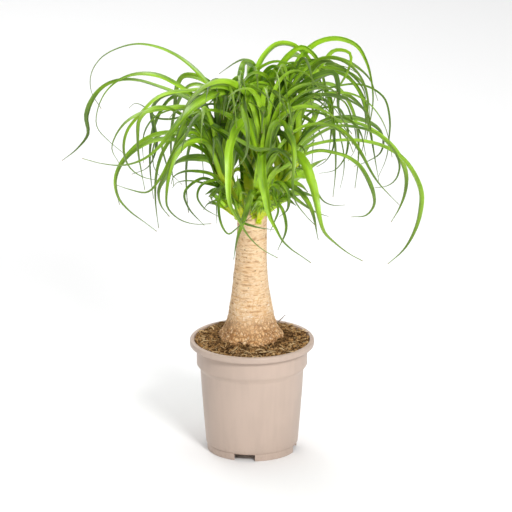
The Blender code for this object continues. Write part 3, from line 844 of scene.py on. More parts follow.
def scatter(name, shapes, count, rng, size_of, lie_flat, material):
    """Strews copies of the shapes over the soil, joined into one piece."""
    sources = []
    for shape in shapes:
        corners = [vertex.co.copy() for vertex in shape.data.vertices]
        sources.append((corners, [list(face.vertices) for face in shape.data.polygons]))
    points = []
    faces = []
    tones = []
    for _ in range(count):
        around = rng.uniform(0, math.tau)
        away = math.sqrt(rng.uniform((40 * MM) ** 2, (77 * MM) ** 2))
        x, y = away * math.cos(around), away * math.sin(around)
        size, slimness = size_of(rng)
        tilt = rng.gauss(0, 0.28) if lie_flat else rng.uniform(0, math.tau)
        turn = Matrix.Rotation(rng.uniform(0, math.tau), 4, "Z") @ Matrix.Rotation(tilt, 4, "Y")
        z = soil_height(x, y) + rng.uniform(-0.2, 0.9) * MM
        slim = size * slimness
        matrix = Matrix.Translation((x, y, z)) @ turn @ Matrix.Diagonal((size, slim, slim, 1))
        source_points, source_faces = rng.choice(sources)
        first = len(points)
        points.extend(matrix @ point for point in source_points)
        faces.extend([first + corner for corner in face] for face in source_faces)
        # Crumbs close to the trunk's foot get darker tones than those out towards the rim.
        tone_scale_from_trunk = 0.4 + 0.6 * clamped((away - 46 * MM) / (13 * MM))
        tones.extend([rng.random() * tone_scale_from_trunk] * len(source_points))
    mesh = bpy.data.meshes.new(name)
    mesh.from_pydata(points, [], faces)
    piece = linked(name, mesh)
    set_attribute(piece, "tone", tones)
    smooth(piece, 50)
    settle(piece, material, "soil")
    for shape in shapes:
        bpy.data.objects.remove(shape)


class PALM_OT_soil(bpy.types.Operator):
    """Fill the pot with soil and strew crumbs and fibres on it"""

    bl_idname = "palm.soil"
    bl_label = "Build soil"

    def execute(self, context):
        look = context.scene.palm_soil
        rng = random.Random(11)
        outline = [(0, 12), (58.5, 12.4), (68.4, 114), (73.4, 124), (73.6, 148.5), (76.3, 151), (78.1, 154.5)]
        outline += [(78.5 - ring * 1.53, 155) for ring in range(1, 51)] + [(0, 155)]
        bed = turned("peat_bed", outline, 160)
        for vertex in bed.data.vertices:
            if vertex.co.z > 154.8 * MM:
                vertex.co.z = soil_height(vertex.co.x, vertex.co.y)
        close(bed)
        smooth(bed, 60)
        settle(bed, soil_material(), "soil", "soil")
        crumbs = crumb_material("peat_crumb", 0.15)
        scatter(
            "soil_crumbs", crumb_shapes(rng), look.crumbs, rng,
            lambda r: (r.uniform(0.7, 2.6) * MM, r.uniform(0.4, 0.9)), False, crumbs,
        )
        scatter(
            "soil_fibres", fibre_shapes(rng), look.fibres, rng,
            lambda r: (r.uniform(4, 15) * MM, r.uniform(0.8, 2.2)), True, crumb_material("coir_fibre", 0.55),
        )
        return {"FINISHED"}


def tube(name, route, radii, sides=8):
    """A closed tapering tube along a route."""
    bm = bmesh.new()
    rings = []
    angles = [math.tau * step / sides for step in range(sides)]
    for number, point in enumerate(route):
        along = (route[min(number + 1, len(route) - 1)] - route[max(number - 1, 0)]).normalized()
        side = along.cross(Vector((0.3, -1, 0.2))).normalized()
        other = along.cross(side)
        corners = [point + radii[number] * (side * math.cos(a) + other * math.sin(a)) for a in angles]
        rings.append([bm.verts.new(corner) for corner in corners])
    close_tube(bm, rings)
    return from_bmesh(name, bm)


# The twig's route and its radius there (mm)
TWIG = [
    (31, 57, 153, 0.9), (34, 58.5, 158, 0.8), (37.5, 59.5, 162, 0.7), (41, 61, 165, 0.6),
    (46, 63, 169.5, 0.35),
]


class PALM_OT_twig(bpy.types.Operator):
    """Stand the dead twig in the soil behind the trunk's right side"""

    bl_idname = "palm.twig"
    bl_label = "Build twig"

    def execute(self, context):
        stem = [Vector(place) * MM for *place, radius in TWIG]
        piece = tube("dead_twig", stem, [radius * MM for *place, radius in TWIG])
        smooth(piece, 60)
        settle(piece, twig_material(), "soil")
        return {"FINISHED"}


# -----------------------------------------------------------------------------
# Leaves


FRONT = Vector((0, 0.946, -0.324))

# For each of the frame's leaves, in order: width (mm), tone from old to young, and how far its broad side
# turns to the front at five places from base to tip
BLADES = {
    "left": [
        (9.0, 0.45, (0.9, 0.8, 0.5, 0.5, 0.6)), (7.5, 0.50, (0.9, 0.8, 0.6, 0.5, 0.5)),
        (8.0, 0.55, (0.8, 0.6, 0.85, 0.4, 0.35)), (8.5, 0.35, (0.8, 0.5, 0.35, 0.95, 0.5)),
        (9.0, 0.40, (0.9, 0.8, 0.9, 0.85, 0.8)), (8.0, 0.60, (0.8, 0.6, 0.75, 0.6, 0.4)),
        (8.0, 0.25, (0.8, 0.6, 0.5, 0.9, 0.4)), (11.0, 0.30, (0.9, 0.7, 0.85, 0.9, 0.5)),
        (8.0, 0.40, (0.8, 0.6, 0.5, 0.8, 0.5)), (8.0, 0.65, (0.8, 0.6, 0.8, 0.9, 0.6)),
        (8.0, 0.50, (0.8, 0.6, 0.8, 0.8, 0.5)), (9.5, 0.45, (0.8, 0.8, 0.9, 0.7, 0.4)),
        (11.0, 0.55, (0.9, 0.9, 0.95, 0.8, 0.6)), (6.0, 0.30, (0.8, 0.7, 0.6, 0.5, 0.5)),
        (6.0, 0.25, (0.8, 0.7, 0.6, 0.5, 0.5)), (4.5, 0.20, (0.8, 0.7, 0.8, 0.5, 0.5)),
    ],
    "front": [
        (11.0, 0.45, (0.9, 0.9, 0.95, 0.8, 0.6)), (12.0, 0.55, (0.8, 0.9, 0.95, 0.6, 0.35)),
        (12.0, 0.10, (0.8, 0.8, 1.0, 0.7, 0.5)), (12.0, 0.85, (0.9, 0.9, 0.95, 0.7, 0.3)),
        (11.0, 0.35, (0.9, 0.8, 0.8, 0.8, 0.4)), (12.5, 0.60, (0.8, 0.9, 0.95, 0.8, 0.4)),
        (8.0, 0.50, (0.8, 0.5, 0.5, 0.85, 0.5)), (7.0, 0.30, (0.8, 0.8, 0.6, 0.6, 0.5)),
        (9.5, 0.40, (0.9, 0.95, 0.8, 0.5, 0.3)),
    ],
    "right": [
        (10.0, 0.80, (0.9, 0.9, 0.7, 0.6, 0.5)), (10.0, 0.75, (0.9, 0.9, 0.7, 0.55, 0.6)),
        (9.0, 0.95, (0.9, 0.85, 0.7, 0.5, 0.6)), (8.0, 0.50, (0.9, 0.7, 0.6, 0.6, 0.5)),
        (9.5, 0.40, (0.8, 0.8, 0.7, 0.8, 0.6)), (7.5, 0.65, (0.8, 0.6, 0.6, 0.6, 0.5)),
        (7.5, 0.30, (0.8, 0.7, 0.6, 0.6, 0.5)), (8.0, 0.25, (0.8, 0.5, 0.8, 0.5, 0.4)),
        (8.5, 0.60, (0.8, 0.5, 0.5, 0.85, 0.6)), (8.0, 0.50, (0.8, 0.6, 0.65, 0.6, 0.4)),
        (9.0, 0.65, (0.8, 0.4, 0.5, 0.85, 0.6)), (13.0, 0.75, (0.9, 0.95, 1.0, 0.8, 0.4)),
        (9.0, 0.35, (0.9, 0.9, 0.8, 0.7, 0.5)),
    ],
    "back": [
        (10.0, 0.70, (0.9, 0.9, 0.7, 0.6, 0.5)), (8.0, 0.45, (0.9, 0.9, 0.7, 0.5, 0.4)),
        (10.0, 0.40, (0.9, 0.9, 0.9, 0.7, 0.5)), (8.5, 0.35, (0.9, 0.7, 0.6, 0.6, 0.5)),
    ],
}
# For the leaves that follow these, each of which has a tone of its own
ARCHED_BLADE = (8.5, None, (0.9, 0.8, 0.6, 0.6, 0.6))

# Where the thin tail starts, as a share of the leaf, on the leaves that thin early or late
WAISTS = {
    "left_leaf_01": 0.65, "left_leaf_02": 0.58, "left_leaf_03": 0.6, "left_leaf_04": 0.95,
    "left_leaf_06": 0.85, "left_leaf_08": 0.9, "left_leaf_10": 0.72, "left_leaf_11": 0.72,
    "left_leaf_12": 0.66, "front_leaf_02": 0.7, "front_leaf_04": 0.68, "front_leaf_05": 0.66,
    "front_leaf_06": 0.62, "front_leaf_07": 0.95, "right_leaf_02": 0.7, "right_leaf_06": 0.6,
    "right_leaf_09": 0.95, "right_leaf_11": 0.95, "right_leaf_12": 0.68,
}

# How far a leaf arches above or below its line (mm), and round which share of it
LIFTS = {"front_leaf_06": (16, 0.2), "back_leaf_02": (-8, 0.55), "back_leaf_03": (-15, 0.5)}

# Leaves between the frame's: shoot, where on it, width (mm), tone, and the places it passes (cm)
BETWEEN = [
    ("left", 0.93, 7, 0.6, [(-5.5, -2, 52), (-9, -3, 52.5), (-11.5, -4, 52.5), (-13.2, -5, 52),
        (-15, -6, 50.4), (-17, -6.5, 47.9), (-17.5, -7, 45.4), (-16.8, -7, 42.9), (-15, -7, 41.4),
        (-12.3, -7, 40.8)]),
    ("left", 0.74, 5, 0.3, [(-7, 2, 47), (-11.2, 3, 46.2), (-13, 4, 46.1), (-14, 4.5, 46.9),
        (-15.2, 5, 47.7), (-16, 5, 47.9), (-16.8, 5, 47.2)]),
    ("left", 0.8, 4, 0.4, [(-9, 3, 47.5), (-12.5, 4, 46.7), (-14.3, 5, 44.5), (-14.9, 5.5, 42.1),
        (-14.8, 5.5, 39.2)]),
    ("left", 0.66, 10, 0.05, [(-5.3, 1, 46.3), (-7.4, 2, 46), (-9.3, 3, 45), (-10.5, 3.5, 43)]),
    ("left", 0.22, 3.5, 0.2, [(-7.1, -3, 39.2), (-8.8, -3.5, 39.6), (-10.2, -4, 39.5), (-10.9, -4, 38.7)]),
    ("left", 0.3, 6, 0.25, [(-5.3, -2, 40.1), (-7.8, -3, 41), (-9.5, -3.5, 41), (-10.7, -4, 40.4),
        (-11, -4, 39.3)]),
    ("left", 0.58, 3.5, 0.4, [(-9, 1, 45), (-12.5, 1.5, 44.5), (-13.5, 2, 42.2), (-13.5, 2, 40.9),
        (-13.3, 2, 39.6), (-12.3, 2, 38)]),
    ("left", 0.64, 4, 0.45, [(-9, 0, 46), (-12, 0, 44.5), (-12.2, 0, 43.5), (-11.9, 0, 42),
        (-11.2, 0, 39.8), (-9.5, 0, 37.9)]),
    ("left", 0.86, 6.5, 0.4, [(-8.5, -6, 47.5), (-10.5, -7, 45.4), (-12.5, -8, 41.7), (-14.2, -8.5, 39.8),
        (-16.5, -8.5, 40.1), (-18.6, -8.5, 40.8)]),
    ("left", 0.12, 9, 0.15, [(-4, -3.5, 39), (-4.6, -4, 38.6), (-5.6, -4.5, 37.3)]),
    ("left", 0.08, 7, 0.2, [(-4.6, -4.5, 37.4), (-6, -5, 36.9), (-6.6, -5, 36)]),
    ("left", 0.1, 3, 0.2, [(-4, -3, 38.5), (-4.8, -3.5, 36.5), (-4.8, -3.5, 33.5)]),
    ("left", 0.15, 5, 0.3, [(-2.5, -3.5, 37), (-1.4, -4.5, 34.3), (0.5, -5, 33.6), (3, -5, 33.1)]),
    ("left", 0.97, 8, 0.5, [(-4.5, -4, 47), (-2, -6, 46.3), (0.5, -7, 45.3), (2.8, -7.5, 45.3),
        (4.5, -7.5, 43.5)]),
    ("back", 0.9, 6, 0.9, [(0, 2, 50.5), (-1.8, 2, 52.3), (-3.8, 2.5, 51.8), (-5.5, 3, 50.8),
        (-8, 3.5, 48.8), (-10, 4, 47)]),
    ("right", 0.97, 6.5, 0.5, [(5.4, -3, 54.1), (6.9, -3.5, 55.4), (9, -4, 55.9), (11.2, -4.5, 55.9),
        (13.3, -5, 55.4), (15, -5.5, 54.1), (15.6, -6, 52), (15.6, -6, 47)]),
    ("right", 0.93, 7, 0.6, [(6, 2, 52), (9.9, 3, 55.1), (12, 4, 54.7), (14.1, 5, 53.4), (16.1, 6, 51.1),
        (17.2, 6.5, 47.8)]),
    ("right", 0.98, 8, 0.3, [(4, -0.5, 52.5), (6, -1, 55.7), (8.6, -1.2, 56.2), (11.2, -1.5, 55.8),
        (13.3, -1.8, 54.6), (15.2, -2, 52.2), (15.5, -2, 49.5)]),
    ("right", 0.8, 7, 0.45, [(8, -2, 50.3), (11.6, -3, 52), (13.3, -3.5, 51.6), (14.8, -4, 50.4),
        (15.6, -4, 49), (16, -4, 46.5)]),
    ("right", 0.72, 4.5, 0.3, [(8, 5, 49), (12.2, 6, 50.3), (14.4, 6.5, 50.3), (16.5, 7, 49.5),
        (18.2, 7, 48), (18.9, 7, 45), (18.8, 7, 42.3), (18.4, 7, 39.4), (17.3, 7, 36.7)]),
    ("right", 0.57, 7, 0.35, [(7.5, -2, 44.5), (11.2, -3, 47.1), (13.7, -3.2, 47.2), (16.7, -3.5, 46.4),
        (18.6, -3.8, 44.9), (19.8, -4, 43), (20, -4, 41.6), (19.5, -4, 40), (18.4, -4, 39.1),
        (16.7, -4, 38.8)]),
    ("right", 0.76, 4.5, 0.3, [(7.5, 3, 47), (11.6, 4, 47.8), (12.9, 4.5, 45.5), (13.2, 4.5, 43.2),
        (12.9, 4.5, 40.7), (12, 4.5, 39.1), (11.2, 4.5, 38.4), (9.2, 4.5, 38)]),
    ("front", 0.97, 7, 0.2, [(5, -2, 50), (10.1, -2, 50.8), (10.9, -2, 48.8), (11.3, -2, 45.9),
        (11.1, -2, 43.8), (10.1, -2, 42), (8.8, -2, 41.1)]),
    ("right", 0.7, 4, 0.4, [(6, 1, 48), (11.2, 1, 47), (12.2, 1, 44), (12.6, 1, 41.5), (12.5, 1, 39.2),
        (12, 1, 37)]),
    ("right", 0.84, 4, 0.4, [(7, 2, 50), (12.4, 2, 49.4), (13.7, 2, 46.7), (14.2, 2, 44.5), (14.1, 2, 42.4),
        (13.1, 2, 40.6)]),
    ("right", 0.95, 7, 0.45, [(6, 0, 52.5), (9.5, 0, 54.5), (13, 0, 53.5), (15.2, 0, 50.4), (15.9, 0, 47.4),
        (16.4, 0, 44.3), (16.8, 0, 41.6), (17.3, 0, 38.4)]),
    ("right", 0.3, 4.5, 0.2, [(5.5, -3, 41), (7.3, -4, 41.2), (8.4, -4, 38.9), (9.7, -4.5, 37),
        (11.2, -4.5, 36.4), (12.7, -4.5, 36.5)]),
    ("right", 0.18, 7, 0.35, [(4, -3, 39), (5.2, -4, 37.8), (6.9, -4.5, 36.5), (8.6, -5, 35.6),
        (10.4, -5, 35)]),
    ("front", 0.3, 6, 0.3, [(3.5, -4, 39.5), (4.8, -4.5, 38.2), (4.8, -4.5, 35.9), (3.7, -4.5, 34.8)]),
    ("front", 0.18, 4, 0.3, [(2.5, -4, 38), (3.5, -5, 36), (3, -5.2, 34.3), (2.4, -5.2, 32.8)]),
]


def merged_points(node):
    """The points of a copy of the frame's node, merged, and which points are joined."""
    bm = bmesh.new()
    bm.from_mesh(node.data)
    bmesh.ops.remove_doubles(bm, verts=bm.verts, dist=0.01 * MM)
    bm.verts.ensure_lookup_table()
    bm.verts.index_update()
    points = [vertex.co.copy() for vertex in bm.verts]
    links = [[edge.other_vert(vertex).index for edge in vertex.link_edges] for vertex in bm.verts]
    bm.free()
    return points, links


def ring_middles(node, sides, end):
    """The middles of the node's rings of points, the last being the ring round the point that end picks."""
    points, links = merged_points(node)
    last = end(points)
    rings = [sorted(range(len(points)), key=lambda number: (points[number] - points[last]).length)[:sides]]
    seen = set(rings[0])
    while len(seen) < len(points):
        ring = sorted({other for number in rings[-1] for other in links[number]} - seen)
        if not ring:
            raise RuntimeError(f"{node.name} is not one strap")
        rings.append(ring)
        seen.update(ring)
    return [sum((points[number] for number in ring), Vector()) / len(ring) for ring in reversed(rings)]


def tightest(points):
    """The number of the point whose neighbours are nearest, which is on a leaf's tip."""
    def spread(number):
        return sorted((points[number] - other).length for other in points)[3]

    return min(range(len(points)), key=spread)


def highest(points):
    return max(range(len(points)), key=lambda number: points[number].z)


def shoot_axis(shoot):
    """The middles of the shoot's rings, from its foot to its tip."""
    return ring_middles(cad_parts[f"{shoot}_shoot"], 10, highest)


def place_on(line, share):
    """(point, direction) at this share of a line of points."""
    walked = [0]
    for near, far in zip(line, line[1:]):
        walked.append(walked[-1] + (far - near).length)
    wanted = min(max(share, 0), 1) * walked[-1]
    span = 0
    while span < len(line) - 2 and walked[span + 1] < wanted:
        span += 1
    part = (wanted - walked[span]) / (walked[span + 1] - walked[span])
    return line[span].lerp(line[span + 1], part), (line[span + 1] - line[span]).normalized()


def even_line(points, count):
    """This many points at even steps along a smooth curve through the points."""
    ends = [points[0] * 2 - points[1]] + points + [points[-1] * 2 - points[-2]]
    fine = []
    for a, b, c, d in zip(ends, ends[1:], ends[2:], ends[3:]):
        first, middle, last = (max((q - p).length, 0.1 * MM) ** 0.5 for p, q in ((a, b), (b, c), (c, d)))
        start = ((b - a) / first - (c - a) / (first + middle) + (c - b) / middle) * middle
        finish = ((c - b) / middle - (d - b) / (middle + last) + (d - c) / last) * middle
        for number in range(10):
            t = number / 10
            fine.append(
                b * (2 * t**3 - 3 * t**2 + 1) + start * (t**3 - 2 * t**2 + t)
                + c * (3 * t**2 - 2 * t**3) + finish * (t**3 - t**2)
            )
    fine.append(points[-1])
    return [place_on(fine, number / (count - 1))[0] for number in range(count)]


CLASP = 0.12
LEAF_SMOOTHING = 70


def blade_share(share, waist):
    """The outline of a blade: widened where it clasps, then long, with a thin tail from its waist on."""
    clasping = 0.3 * max(0, 1 - share / CLASP) ** 1.5
    start = min(1, 0.3 + share / 0.02)
    tail = 0.26 + 0.74 / (1 + (share / waist) ** 9)
    return max(0.13, start * (1 + clasping) * tail * (1 - max(0, (share - 0.3) / 0.7) ** 6))


def at_share(values, share):
    """The value at this share of an even row of values."""
    place = min(max(share, 0), 1) * (len(values) - 1)
    number = min(int(place), len(values) - 2)
    return values[number] + (values[number + 1] - values[number]) * (place - number)


def square_to(way, direction):
    """The part of a way that is square to a direction, at unit length."""
    return (way - direction * way.dot(direction)).normalized()


def turned_sides(line, facings, inward):
    """The direction across the blade at each point of its line.

    The blade clasps its shoot, whose axis is inward from its base, and then shows its broad side to the
    front as far as facings says.
    """
    last = len(line) - 1
    sides = []
    across = None
    for number in range(last + 1):
        along = (line[min(number + 1, last)] - line[max(number - 1, 0)]).normalized()
        flat = along.cross(FRONT)
        weight = min(1, flat.length / 0.5)
        if across is None:
            across = flat.normalized()
        elif flat.dot(across) < 0:
            flat = -flat
        across = across.lerp(flat.normalized(), 0.15 + 0.6 * weight)
        across = square_to(across, along)
        turn = math.acos(min(1, at_share(facings, number / last)))
        sides.append((across * math.cos(turn) + along.cross(across) * math.sin(turn), along))
    clasp = sides[0][1].cross(inward).normalized()
    sign = 1 if sides[last // 6][0].dot(clasp) >= 0 else -1
    found = []
    for number, (side, along) in enumerate(sides):
        hold = max(0, 1 - number / last / 0.16)
        found.append(square_to(side * sign * (1 - hold) + clasp * hold, along))
    return found


def add_blade(name, route, width, tone, facings, inward, waist=0.86):
    """One leaf along its route: a thin blade with a channel along it, wrapped round its shoot at its base."""
    look = bpy.context.scene.palm_leaf
    along_count, across_count = look.stations, look.columns
    line = even_line(route, along_count + 1)
    sides = turned_sides(line, facings, inward)
    rng = random.Random(name)
    waves = [(rng.uniform(2, 7), rng.uniform(0, math.tau), rng.uniform(0.01, 0.04)) for _ in range(2)]
    channel = rng.uniform(0.2, 0.34)
    blade = grid(name, across_count, along_count)

    def point_at(u, v):
        number = round(v * along_count)
        along = line[min(number + 1, along_count)] - line[max(number - 1, 0)]
        side = sides[number]
        normal = side.cross(along.normalized())
        half = width * MM / 2 * blade_share(v, waist)
        place = (u - 0.5) * 2
        clasp = max(0, 1 - v / CLASP)
        rise = (channel + 0.5 * clasp**2) * abs(place) ** 1.2 * half * 2
        ripple = sum(size * math.sin(math.tau * turns * v + start + place) for turns, start, size in waves)
        sideways = half * place * (1 - 0.3 * clasp)
        return line[number] + side * sideways + normal * (rise + ripple * half * abs(place))

    shape_grid(blade, across_count, along_count, point_at)
    set_attribute(blade, "tone", [tone] * len(blade.data.vertices))
    apply_modifier(blade, "SOLIDIFY", thickness=look.thickness, offset=0, use_even_offset=False)
    return blade


def gather(name, blades, material):
    """Joins blades into one finished piece of this name."""
    deselect_all()
    for blade in blades:
        blade.select_set(True)
    bpy.context.view_layer.objects.active = blades[0]
    bpy.ops.object.join()
    piece = active(name)
    smooth(piece, LEAF_SMOOTHING)
    settle(piece, material, "leaf")


class PALM_OT_leaves(bpy.types.Operator):
    """Grow a fine blade along every leaf of the frame"""

    bl_idname = "palm.leaves"
    bl_label = "Grow leaves"

    def execute(self, context):
        material = shared_leaf_material()
        for shoot in SHOOTS:
            axis = shoot_axis(shoot)
            names = sorted(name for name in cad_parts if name.startswith(f"{shoot}_leaf_"))
            given = BLADES[shoot] + [ARCHED_BLADE] * len(names)
            for name, (width, tone, facings) in zip(names, given):
                if tone is None:
                    tone = random.Random(name).uniform(0.1, 0.7)
                route = ring_middles(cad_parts[name], 4, tightest)
                heart = nearest_on(axis, route[0])
                inward = heart - route[0]
                lift, centre = LIFTS.get(name, (0, 0))
                for place, point in enumerate(route):
                    arched = math.exp(-(((place / (len(route) - 1) - centre) / 0.22) ** 2))
                    route[place] = point + UP * lift * MM * arched
                route.insert(0, heart.lerp(route[0], 0.35) - UP * 5 * MM)
                waist = WAISTS.get(name, 0.82)
                blade = add_blade(name + "_blade", route, width, tone, facings, inward, waist)
                smooth(blade, LEAF_SMOOTHING)
                settle(blade, material, "leaf", name)
        return {"FINISHED"}


def shared_leaf_material():
    return bpy.data.materials.get("ponytail_leaf") or leaf_material()


def nearest_on(line, point):
    """The place on a line of points that is nearest to a point."""
    places = [place_on(line, number / 40)[0] for number in range(41)]
    return min(places, key=lambda place: (place - point).length)


def rooted(axis, share, target):
    """(first two points of its route, way to the axis) of a leaf that leaves the shoot for its target."""
    point, direction = place_on(axis, share)
    out = square_to(target - point, direction)
    skin = (7.5 - 4 * share) * MM
    start = point + out * skin * 0.3 - direction * 5 * MM
    return [start, point + out * (skin + 2 * MM + (1 - share) * 5 * MM) + direction * 14 * MM], -out


class PALM_OT_between(bpy.types.Operator):
    """Grow the leaves that pass between the frame's leaves"""

    bl_idname = "palm.between"
    bl_label = "Grow leaves between"

    def execute(self, context):
        material = shared_leaf_material()
        grown = {shoot: [] for shoot in SHOOTS}
        for number, (shoot, share, width, tone, points) in enumerate(BETWEEN):
            name = f"between_{number:02d}"
            rng = random.Random(name)
            targets = [Vector(point) * CM for point in points]
            start, inward = rooted(shoot_axis(shoot), share, targets[0])
            facings = [0.85] + [rng.uniform(0.45, 0.9) for _ in range(3)] + [0.5]
            grown[shoot].append(add_blade(name, start + targets, width, tone, facings, inward))
        for shoot, blades in grown.items():
            if blades:
                gather(f"{shoot}_leaves_between", blades, material)
        return {"FINISHED"}


def arch(start, around, lean_base, lean_tip, bend, length, drift):
    """The route of a leaf that rises from its start, leans further and further over and hangs down."""
    steps = 14
    points = [start]
    for number in range(steps):
        share = (number + 0.5) / steps
        lean = math.radians(lean_base + (lean_tip - lean_base) * share**bend)
        turn = around + drift * share
        step = Vector((math.cos(turn) * math.sin(lean), math.sin(turn) * math.sin(lean), math.cos(lean)))
        points.append(points[-1] + step * length / steps)
    return points


def fits(route):
    """Whether a route keeps inside the frame's box, a margin short of its sides."""
    low, high = CAD_BOX
    margin = 6 * MM
    for point in route:
        if any(not low[axis] + margin < point[axis] < high[axis] - margin for axis in range(3)):
            return False
    return True


# The crown's dome, seen from the front and a little from above: across and up (cm)
SIGHT_SLOPE = 0.342
CROWN_TOP = [
    (-40, 34), (-15, 44), (-10, 49.5), (-7, 52), (0, 54.5), (6, 56.5), (10, 56.5), (15, 53.5), (40, 36)
]


class PALM_OT_crown(bpy.types.Operator):
    """Fill the heart of the crown with upright young leaves and short arching ones"""

    bl_idname = "palm.crown"
    bl_label = "Fill crown"

    def execute(self, context):
        look = context.scene.palm_leaf
        material = shared_leaf_material()
        for shoot in SHOOTS:
            rng = random.Random(shoot)
            axis = shoot_axis(shoot)
            blades = []
            for number in range(look.inner_leaves):
                share = 1 - 0.75 * (number / look.inner_leaves) ** 1.2
                around = number * GOLDEN_ANGLE + rng.uniform(-0.4, 0.4)
                young = 1 - number / look.inner_leaves
                route = None
                while route is None:
                    point, direction = place_on(axis, share)
                    out = square_to(Vector((math.cos(around), math.sin(around), 0)), direction)
                    start = point + out * (6 - 4 * share) * MM
                    length = rng.uniform(20, 36) * CM * (0.7 + 0.3 * young)
                    lean_base = rng.uniform(2, 11) + 16 * (1 - young)
                    lean_tip = rng.uniform(85, 165)
                    bend = rng.uniform(1.6, 2.8)
                    tried = arch(start, around, lean_base, lean_tip, bend, length, rng.uniform(-0.7, 0.7))
                    if fits(tried) and self.under_crown(tried):
                        route = tried
                    around += 0.35
                facings = [0.85] + [rng.uniform(0.4, 0.95) for _ in range(4)]
                width = rng.uniform(7, 11.5)
                tone = clamped(rng.gauss(0.15 + 0.6 * young, 0.3))
                waist = rng.uniform(0.6, 0.95)
                name = f"{shoot}_inner_{number:02d}"
                blades.append(add_blade(name, route, width, tone, facings, -out, waist))
            gather(f"{shoot}_inner_leaves", blades, material)
        return {"FINISHED"}

    def under_crown(self, route):
        """Whether a route keeps under the dome of the crown."""
        for point in route:
            for (left, low), (right, high) in zip(CROWN_TOP, CROWN_TOP[1:]):
                if left <= point.x / CM < right:
                    top = low + (high - low) * (point.x / CM - left) / (right - left)
                    if point.z + SIGHT_SLOPE * point.y > top * CM:
                        return False
        return True


SHEATH_STEPS = 8
BUD_LEAVES = 7


class PALM_OT_sheaths(bpy.types.Operator):
    """Wrap the shoots in short overlapping leaf bases"""

    bl_idname = "palm.sheaths"
    bl_label = "Wrap shoots"

    def execute(self, context):
        look = context.scene.palm_leaf
        material = shared_leaf_material()
        for shoot in SHOOTS:
            rng = random.Random(shoot + " sheath")
            axis = shoot_axis(shoot)
            blades = []
            for number in range(look.sheaths):
                share = 0.02 + 0.9 * number / look.sheaths
                around = number * GOLDEN_ANGLE + rng.uniform(-0.3, 0.3)
                point, direction = place_on(axis, share)
                out = square_to(Vector((math.cos(around), math.sin(around), 0)), direction)
                skin = (8.5 - 4 * share) * MM
                length = rng.uniform(45, 100) * MM
                tilt = rng.uniform(0.05, 0.2)
                droop = rng.uniform(0.2, 1.6) if share < 0.5 else rng.uniform(0, 0.6)
                route = [point + out * skin * 0.8]
                for step in range(1, SHEATH_STEPS + 1):
                    reach = step / SHEATH_STEPS
                    way = direction * length * reach + out * (skin * 0.3 + length * tilt * reach**1.5)
                    route.append(point + out * skin * 0.8 + way - UP * length * 0.45 * droop * reach**2.5)
                facings = [0.85, 0.8, 0.7, 0.6, 0.6]
                width = rng.uniform(10, 15)
                tone = rng.uniform(0.4, 1.5)
                name = f"{shoot}_sheath_{number:02d}"
                blades.append(add_blade(name, route, width, tone, facings, -out, 0.8))
            blades += self.offshoots(shoot, rng)
            gather(f"{shoot}_sheaths", blades, material)
        return {"FINISHED"}

    def offshoots(self, shoot, rng):
        """The short, wide leaves of the small buds round the top of the trunk, below the shoot."""
        blades = []
        for number, (foot, tip, length) in enumerate(BUDS[shoot]):
            start = Vector(foot) * MM
            way = (Vector(tip) * MM - start).normalized()
            middle = Vector((-0.7 * MM, 0, start.z))
            outward = (start - middle).normalized()
            for leaf in range(BUD_LEAVES):
                turn = Matrix.Rotation(leaf * GOLDEN_ANGLE + rng.uniform(-0.3, 0.3), 3, way)
                side = turn @ way.orthogonal().normalized()
                out = (side + outward * 0.9).normalized()
                reach = length * rng.uniform(0.5, 1.0) * MM
                route = [start - outward * 3 * MM, start + side * 2 * MM + way * reach * 0.25]
                route.append(start + out * reach * 0.16 + way * reach * 0.6)
                route.append(start + out * reach * rng.uniform(0.2, 0.4) + way * reach * 0.9)
                spread, onward = rng.uniform(0.3, 0.8), rng.uniform(0.5, 1.1)
                route.append(start + out * reach * spread + way * reach * onward)
                tone = rng.uniform(0.9, 1.6)
                name = f"{shoot}_bud_{number}_{leaf}"
                blades.append(add_blade(name, route, rng.uniform(5, 9), tone, [0.8] * 5, -side, 0.85))
        return blades


# The buds below each shoot: foot and the way they grow (mm), and how long they are (mm)
BUDS = {
    "left": [((-21, -3, 333), (-34, -10, 352), 55), ((-12, -15, 338), (-17, -24, 362), 50)],
    "front": [((9, -19, 331), (13, -30, 352), 52), ((2, -20, 340), (2, -30, 366), 40)],
    "right": [((19, -5, 338), (34, -10, 362), 55), ((17, 11, 336), (30, 20, 360), 50)],
    "back": [((-4, 20, 336), (-6, 34, 358), 50), ((-17, 10, 340), (-30, 18, 362), 45)],
}


class PALM_OT_shoots(bpy.types.Operator):
    """Round off the shoots that the leaves clasp"""

    bl_idname = "palm.shoots"
    bl_label = "Build shoots"

    def execute(self, context):
        material = shoot_material()
        for shoot in SHOOTS:
            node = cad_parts[f"{shoot}_shoot"]
            piece = linked(f"{shoot}_shoot_core", node.data.copy())
            use(piece)
            edit(bpy.ops.mesh.remove_doubles, threshold=0.01 * MM)
            edit(bpy.ops.mesh.tris_convert_to_quads)
            apply_modifier(piece, "SUBSURF", levels=3, render_levels=3)
            close(piece)
            smooth(piece, 80)
            settle(piece, material, "shoot", node.name)
        return {"FINISHED"}


# -----------------------------------------------------------------------------
# Stage


